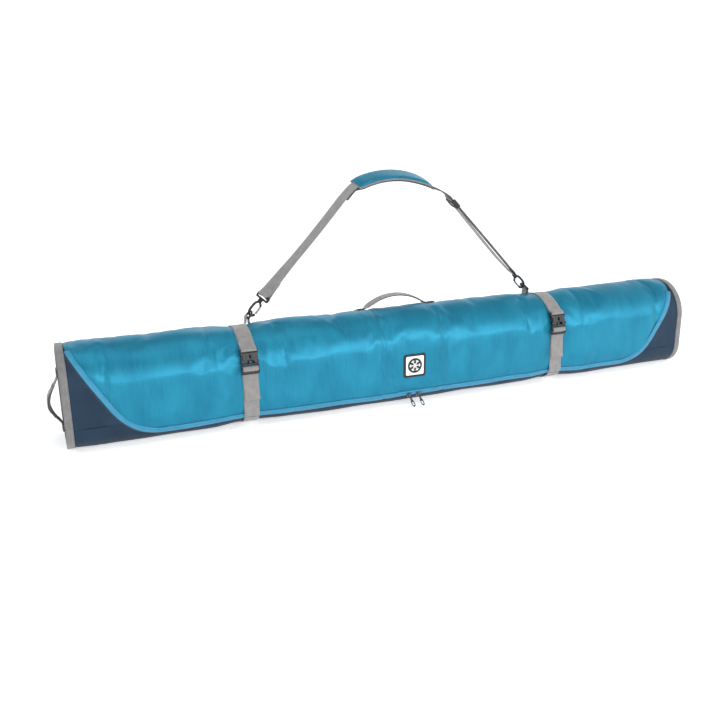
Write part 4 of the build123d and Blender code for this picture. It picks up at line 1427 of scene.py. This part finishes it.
# %% D-rings, hooks and frames
for sign, name in ((-1, "left"), (1, "right")):
    start_point, side_way, out, up, _ = leg_ways(sign)
    bend = np.linspace(0, math.pi, 11)
    ring_path = [(-13.7, 0.0), (0, 0), (13.7, 0.0), (13.9, 2.5)] + [
        (13.8 * math.cos(t), 5 + 13.8 * math.sin(t)) for t in bend] + [(-13.9, 2.5)]
    ring_path = on_leg(sign, [(a, 0, s) for a, s in ring_path])
    ring_path = smooth_path(ring_path, 1.2 * MM, closed=True)
    ring_piece = tube(f"d_ring_wire_{name}", ring_path, 2.6 * MM, PLASTIC, True, across=out)
    attach(ring_piece, "shoulder_strap", "black_plastic", f"d_ring_{name}")

    z = lying(sign * RING_X, 1.4 * MM)[2] - RING_Z
    tab = np.array([(-17, z / MM), (-10, z / MM), (-5.4, z / MM + 2.2), (-3.9, -6), (-3.9, 0),
                    (-2.4, 3.2), (0, 4.2), (2.4, 3.2),
                    (3.9, 0), (3.9, -6), (5.4, z / MM + 2.2), (10, z / MM), (17, z / MM)]) * MM
    tab_path = np.column_stack([sign * RING_X + tab[:, 0], np.full(len(tab), TOP_Y), RING_Z + tab[:, 1]])
    tab_path = smooth_path(tab_path, 1.5 * MM)
    tilt = LIE_TILT * (1 - smooth((tab_path[:, 2] - RING_Z - z) / (8 * MM)))
    across = np.column_stack([np.zeros(len(tilt)), np.cos(tilt), -np.sin(tilt)])
    tab_web = ribbon(f"d_ring_web_{name}", tab_path, across,
                     flat_profile(-10.5 * MM, 10.5 * MM, -0.8 * MM, 0.8 * MM, 5), WEBBING)
    nodes = ("d_ring_tabs",) if sign < 0 else ()
    attach(tab_web, ("bag_base", "shoulder_strap", (0, TOP_Y, 0.2345), (0, TOP_Y, 0.2425)),
           "grey_webbing", *nodes)
    a = np.linspace(-9, 9, 10)[:, None] * MM * [0, math.cos(LIE_TILT), -math.sin(LIE_TILT)]
    rows = [lying(sign * RING_X, 2.4 * MM) + [shift * MM, 0, 0] + a for shift in (-14, -9, 9, 14)]
    attach(stitches(f"d_ring_stitches_{name}", rows, GREY_THREAD), "bag_base", "grey_webbing")

    spine = [(0.2, 51.5), (-2.2, 48.6), (-5.6, 44), (-7.2, 37), (-7.4, 28), (-6.8, 20), (-4.2, 13.4),
             (0.4, 10.2),
             (5.6, 10.4), (9.4, 13.4), (11.2, 18.4)]
    crown = [(0.2, 50.6), (3.6, 48.6), (7.8, 45.6), (10.8, 41.6)]
    place = placing(start_point, -out, up)
    hook_parts = []
    for part_name, outline, radius in (("spine", spine, 3.2), ("crown", crown, 3.0)):
        wire = smooth_path(np.array([place @ Vector((n * MM, s * MM, 0)) for n, s in outline]), 1.0 * MM)
        hook_parts.append(tube(part_name, wire, radius * MM, PLASTIC, across=side_way))
    stem = on_leg(sign, [(0, 0, s) for s in (46.5, 49, 52, 56, 59.6)])
    hook_parts.append(tube("stem", smooth_path(stem, 1.0 * MM), 2.9 * MM, PLASTIC, across=side_way))
    cap = on_leg(sign, [(0, 0, s) for s in (57.9, 58.4, 59.6, 60.6)])
    hook_parts.append(tube("cap", cap, 4.4 * MM, PLASTIC, across=side_way))
    collar = on_leg(sign, [(0, 0, s) for s in (46.4, 47.4, 48.6, 49.4)])
    hook_parts.append(tube("collar", collar, 4.2 * MM, PLASTIC, across=side_way))
    attach(join(f"hook_casting_{name}", hook_parts), f"hook_{name}", "black_plastic", f"snap_hook_{name}")
    gate = on_leg(sign, [(0, -11.3, 20.2), (0, -11.7, 27), (0, -11.5, 34), (0, -10.9, 41.5)])
    gate_piece = tube(f"gate_blade_{name}", smooth_path(gate, 1.0 * MM), 3.3 * MM, STEEL, flatten=0.75,
                      across=side_way)
    attach(gate_piece, f"gate_{name}", "steel", f"hook_gate_{name}")

    loop_path = rounded(43.4 * MM, 10.6 * MM, 3.0 * MM, (0, 64.9 * MM), 5)
    loop_path = np.array([flat_on_leg(sign, 0, 0, FRAME_LEAN[sign]) @ Vector((a, s, 0)) for a,
                          s in loop_path])
    loop_piece = tube("bars", smooth_path(loop_path, 1.5 * MM, closed=True), 2.6 * MM, PLASTIC, True,
                      across=out)
    barrel = on_leg(sign, [(0, 0, s) for s in (49.9, 50.6, 52, 54, 56, 57.2)])
    barrel_piece = tube("barrel", barrel, 5.8 * MM, PLASTIC, across=side_way, count=20)
    attach(join(f"loop_bars_{name}", [loop_piece, barrel_piece]), "shoulder_strap", "black_plastic",
           f"loop_frame_{name}")

# %% [markdown]
# The webbing of a leg is one ribbon that starts as a short sewn end, goes round the frame's bar and runs
# up. On the right the two layers run side by side to the slide and part a little between, as slack
# webbing does.

# %% Legs and pad
PAD_LEFT, PAD_TOP, PAD_RIGHT = (np.array(p) * MM for p in ((-122, 548), (-10, 575), (108, 540)))


def circle_through(a, b, c):
    """Centre and radius: the point whose distances to a and b, and to b and c, are equal."""
    lines = 2 * np.array([b - a, c - b])
    centre = np.linalg.solve(lines, [b @ b - a @ a, c @ c - b @ b])
    return centre, float(np.linalg.norm(a - centre))


PAD_CENTRE, PAD_R = circle_through(PAD_LEFT, PAD_TOP, PAD_RIGHT)
PAD_FROM, PAD_TO = (math.atan2(*(p - PAD_CENTRE)) for p in (PAD_LEFT, PAD_RIGHT))


def pad_arc(turn, lift):
    """World points over the pad's arc, where turn is the angle from straight up."""
    x = PAD_CENTRE[0] + (PAD_R + lift) * np.sin(turn)
    z = PAD_CENTRE[1] + (PAD_R + lift) * np.cos(turn)
    return np.column_stack([x, np.full(np.shape(x), TOP_Y), z])


def leaning(sign, path):
    """Across directions along a strap: Y turned towards the outside by the frame's lean at the frame,
    which eases to the strap's lean over 130 mm. Outside is the leg's outward way, or away from the pad's
    centre."""
    start_point, _, out, up, length = leg_ways(sign)
    height = (path - start_point) @ up
    at_frame = 1 - smooth((height - 72 * MM) / (130 * MM))
    lean = STRAP_LEAN[sign] + (FRAME_LEAN[sign] - STRAP_LEAN[sign]) * at_frame
    from_centre = np.column_stack([path[:, 0] - PAD_CENTRE[0], np.zeros(len(path)),
                                   path[:, 2] - PAD_CENTRE[1]])
    from_centre /= np.linalg.norm(from_centre, axis=1, keepdims=True)
    on_pad = smooth((height - length + 30 * MM) / (50 * MM))[:, None]
    outside = out * (1 - on_pad) + from_centre * on_pad
    outside /= np.linalg.norm(outside, axis=1, keepdims=True)
    return np.cos(lean)[:, None] * np.array([0.0, 1.0, 0.0]) + np.sin(lean)[:, None] * outside


bar_loop = [(0, -3.5, 74), (0, -3.5, 69.4), (0, -1.9, 67.0), (0, 1.0, 66.6), (0, 3.2, 68.3), (0, 3.5, 72)]
span = leg_ways(-1)[4] / MM
left_leg = on_leg(-1, [(0, -1.2, 118), (0, -1.6, 96), (0, -2.6, 80)] + bar_loop + [
    (0, 2.0, 80), (0, 0.7, 100), (0, 0.2, 150), (0, -1.5, 230), (0, -1.5, 300), (0, 0, 370),
    (0, 0, span - 30)])
in_pad = pad_arc(np.linspace(PAD_FROM + 0.03, PAD_TO, 12), 0.2 * MM)
left_leg = smooth_path(np.vstack([left_leg, in_pad]), 3 * MM)
attach(ribbon("leg_web_long", left_leg, leaning(-1, left_leg), WEB_LOOP, WEBBING), "shoulder_strap",
       "grey_webbing", "leg_web_left")
span = leg_ways(1)[4] / MM
parting = np.array([0.05, 0.2, 0.4, 0.6, 0.8, 1.0])
outer_web = [(0, 2.9 + 0.5 * math.sin(math.pi * t), 74 + t * 250) for t in parting]
outer_web += [(0, 3.0, 334), (0, 2.8, 345), (0, 2.4, 356), (0, 2.6, span)]
inner_web = [(0, -2.9 - 3.0 * math.sin(math.pi * t**0.6), 74 + t * 250) for t in parting[1:]]
inner_web += [(0, -3.0, 334), (0, -2.8, 345), (0, -2.6, 356), (0, -2.8, span - 4)]
right_leg = smooth_path(on_leg(1, inner_web[::-1] + bar_loop + outer_web, STRAP_LEAN[1]), 3 * MM)
start_point, side_way, _, _, _ = leg_ways(1, STRAP_LEAN[1])
attach(ribbon("leg_web_double", right_leg, -side_way, WEB_LOOP, WEBBING), "shoulder_strap",
       "grey_webbing", "leg_web_right", "leg_web_return")
sewn = [on_leg(-1, [(a, 2.1 if s < 100 else 1.6, s) for a in np.linspace(-16, 16, 17)],
               FRAME_LEAN[-1]) for s in (88, 96)]
attach(stitches("leg_stitches", sewn, GREY_THREAD), "shoulder_strap", "grey_webbing")

# %% [markdown]
# The slide is a flat frame with a bar across its middle. The webbing passes over the bar and grips
# itself.

# %% Slide
lean, SLIDE_AT = STRAP_LEAN[1], 345
rim, hole = rounded(47 * MM, 28 * MM, 5 * MM), rounded(38 * MM, 19 * MM, 3 * MM)
bar = rounded(42 * MM, 8 * MM, 2.4 * MM)
slide_parts = [
    plate("rim", [rim, hole], (-1.2, 1.6, 0.7), flat_on_leg(1, SLIDE_AT, -5.2, lean), PLASTIC),
    plate("bar", [bar], (-1.5, 1.5, 0.7), flat_on_leg(1, SLIDE_AT, 0, lean), PLASTIC),
]
for a in (-1, 1):
    cheek = rounded(3.2 * MM, 26 * MM, 1.2 * MM, (a * 21.8 * MM, 0))
    slide_parts.append(plate("cheek", [cheek], (-6, 4, 0.8), flat_on_leg(1, SLIDE_AT, 0, lean), PLASTIC))
attach(join("slide_frame", slide_parts), "adjuster", "black_plastic", "web_adjuster")

# %% [markdown]
# The pad is a long cushion bent to the arc of a shoulder. It is broad in its middle, narrows to the
# webbing at each end, is bound all round, and lies on a dark non-slip underside whose ends are sewn to
# the webbing.

# %% Pad
COVER_FROM, COVER_TO = PAD_FROM + 17 * MM / PAD_R, PAD_TO - 16 * MM / PAD_R


def pad_half(turn):
    """Half width of the pad: 29 mm, eased to 19 mm over 30 mm of arc at each end."""
    from_end = np.minimum(turn - PAD_FROM, PAD_TO - turn) * PAD_R
    return (19 + 10 * smooth(from_end / (30 * MM))) * MM


def on_pad(turn, a, b):
    """World points at a across the pad and b above its middle, on sections that lean like the strap."""
    turn, a, b = np.broadcast_arrays(turn, a, b)
    lean = PAD_LEAN * smooth((turn - PAD_FROM + 0.1) * 5) * (1 - 0.4 * smooth((turn - PAD_TO + 0.35) * 3))
    along_y = a * np.cos(lean) - b * np.sin(lean)
    outwards = PAD_R + a * np.sin(lean) + b * np.cos(lean)
    return np.stack([PAD_CENTRE[0] + outwards * np.sin(turn), TOP_Y + along_y,
                     PAD_CENTRE[1] + outwards * np.cos(turn)], -1)


def pad_layer(name, turn, low, high, grow, material):
    """A long cushion: its top is low + (high - low) * (1 - |share|^4)^(1/3), and it thins at its ends."""
    share = np.concatenate([np.linspace(-1, 1, 17), np.linspace(1, -1, 17)])
    dome = (1 - np.abs(share) ** 4).clip(0) ** (1 / 3) * (np.arange(34) < 17)
    from_end = np.minimum(turn - turn[0], turn[-1] - turn) * PAD_R
    thin = 0.5 + 0.5 * smooth(from_end / (16 * MM))
    b = low + (high - low) * dome * thin[:, None]
    a = share * (pad_half(turn) + grow)[:, None]
    uv = np.stack([np.broadcast_to(turn[:, None] * PAD_R, a.shape), a], -1)
    return carry(name, on_pad(turn[:, None], a, b), material, uv)


turn = np.linspace(COVER_FROM, COVER_TO, 90)
pad_cover = pad_layer("pad_cover", turn, 1.2 * MM, 7.4 * MM, 0.0, BLUE)
attach(pad_cover, "shoulder_strap", "blue_fabric", "shoulder_pad")
full = np.linspace(PAD_FROM, PAD_TO, 90)
attach(pad_layer("pad_underside", full, -5.2 * MM, -0.9 * MM, -1.0 * MM, DARK_WEB), "shoulder_strap",
       "dark_webbing")
edge_turn = np.concatenate([turn, turn[::-1]])
edge_a = np.concatenate([pad_half(turn), -pad_half(turn)[::-1]])
rim_path = smooth_path(on_pad(edge_turn, edge_a, 0.4 * MM), 3 * MM, closed=True)
attach(ribbon("pad_binding", rim_path, (0, 1, 0), circle(2.3 * MM, 10), BINDING, True), "shoulder_strap",
       "grey_webbing")
tab_end = on_leg(1, [(0, 0, span + 6), (0, 0, span - 4), (0, 0, span - 14)])
tab_start = pad_arc(np.array([PAD_TO - 0.10, PAD_TO - 0.05, PAD_TO]), -1.0 * MM)
right_tab = smooth_path(np.vstack([tab_start, 0.5 * (tab_start[-1:] + tab_end[:1]) + [0, 0, 2 * MM],
                                   tab_end]), 2 * MM)
tab_loop = flat_profile(-20 * MM, 20 * MM, -1.6 * MM, 1.6 * MM, 6)
attach(ribbon("pad_tab_right", right_tab, -side_way, tab_loop, DARK_WEB), "shoulder_strap",
       "dark_webbing", "pad_end_tabs")
left_tab = np.vstack([on_leg(-1, [(0, -3.4, leg_ways(-1)[4] / MM - 30)]),
                      pad_arc(np.array([PAD_FROM + 0.03, PAD_FROM + 0.12]), -2.6 * MM)])
left_tab = smooth_path(left_tab, 2 * MM)
attach(ribbon("pad_tab_left", left_tab, leaning(-1, left_tab), tab_loop, DARK_WEB), "shoulder_strap",
       "dark_webbing")
rows = [on_pad(turn[6:-6], side * (pad_half(turn[6:-6]) - 6 * MM), 6.6 * MM) for side in (-1, 1)]
attach(stitches("pad_stitches", rows, BLUE_THREAD), "shoulder_strap", "blue_fabric")
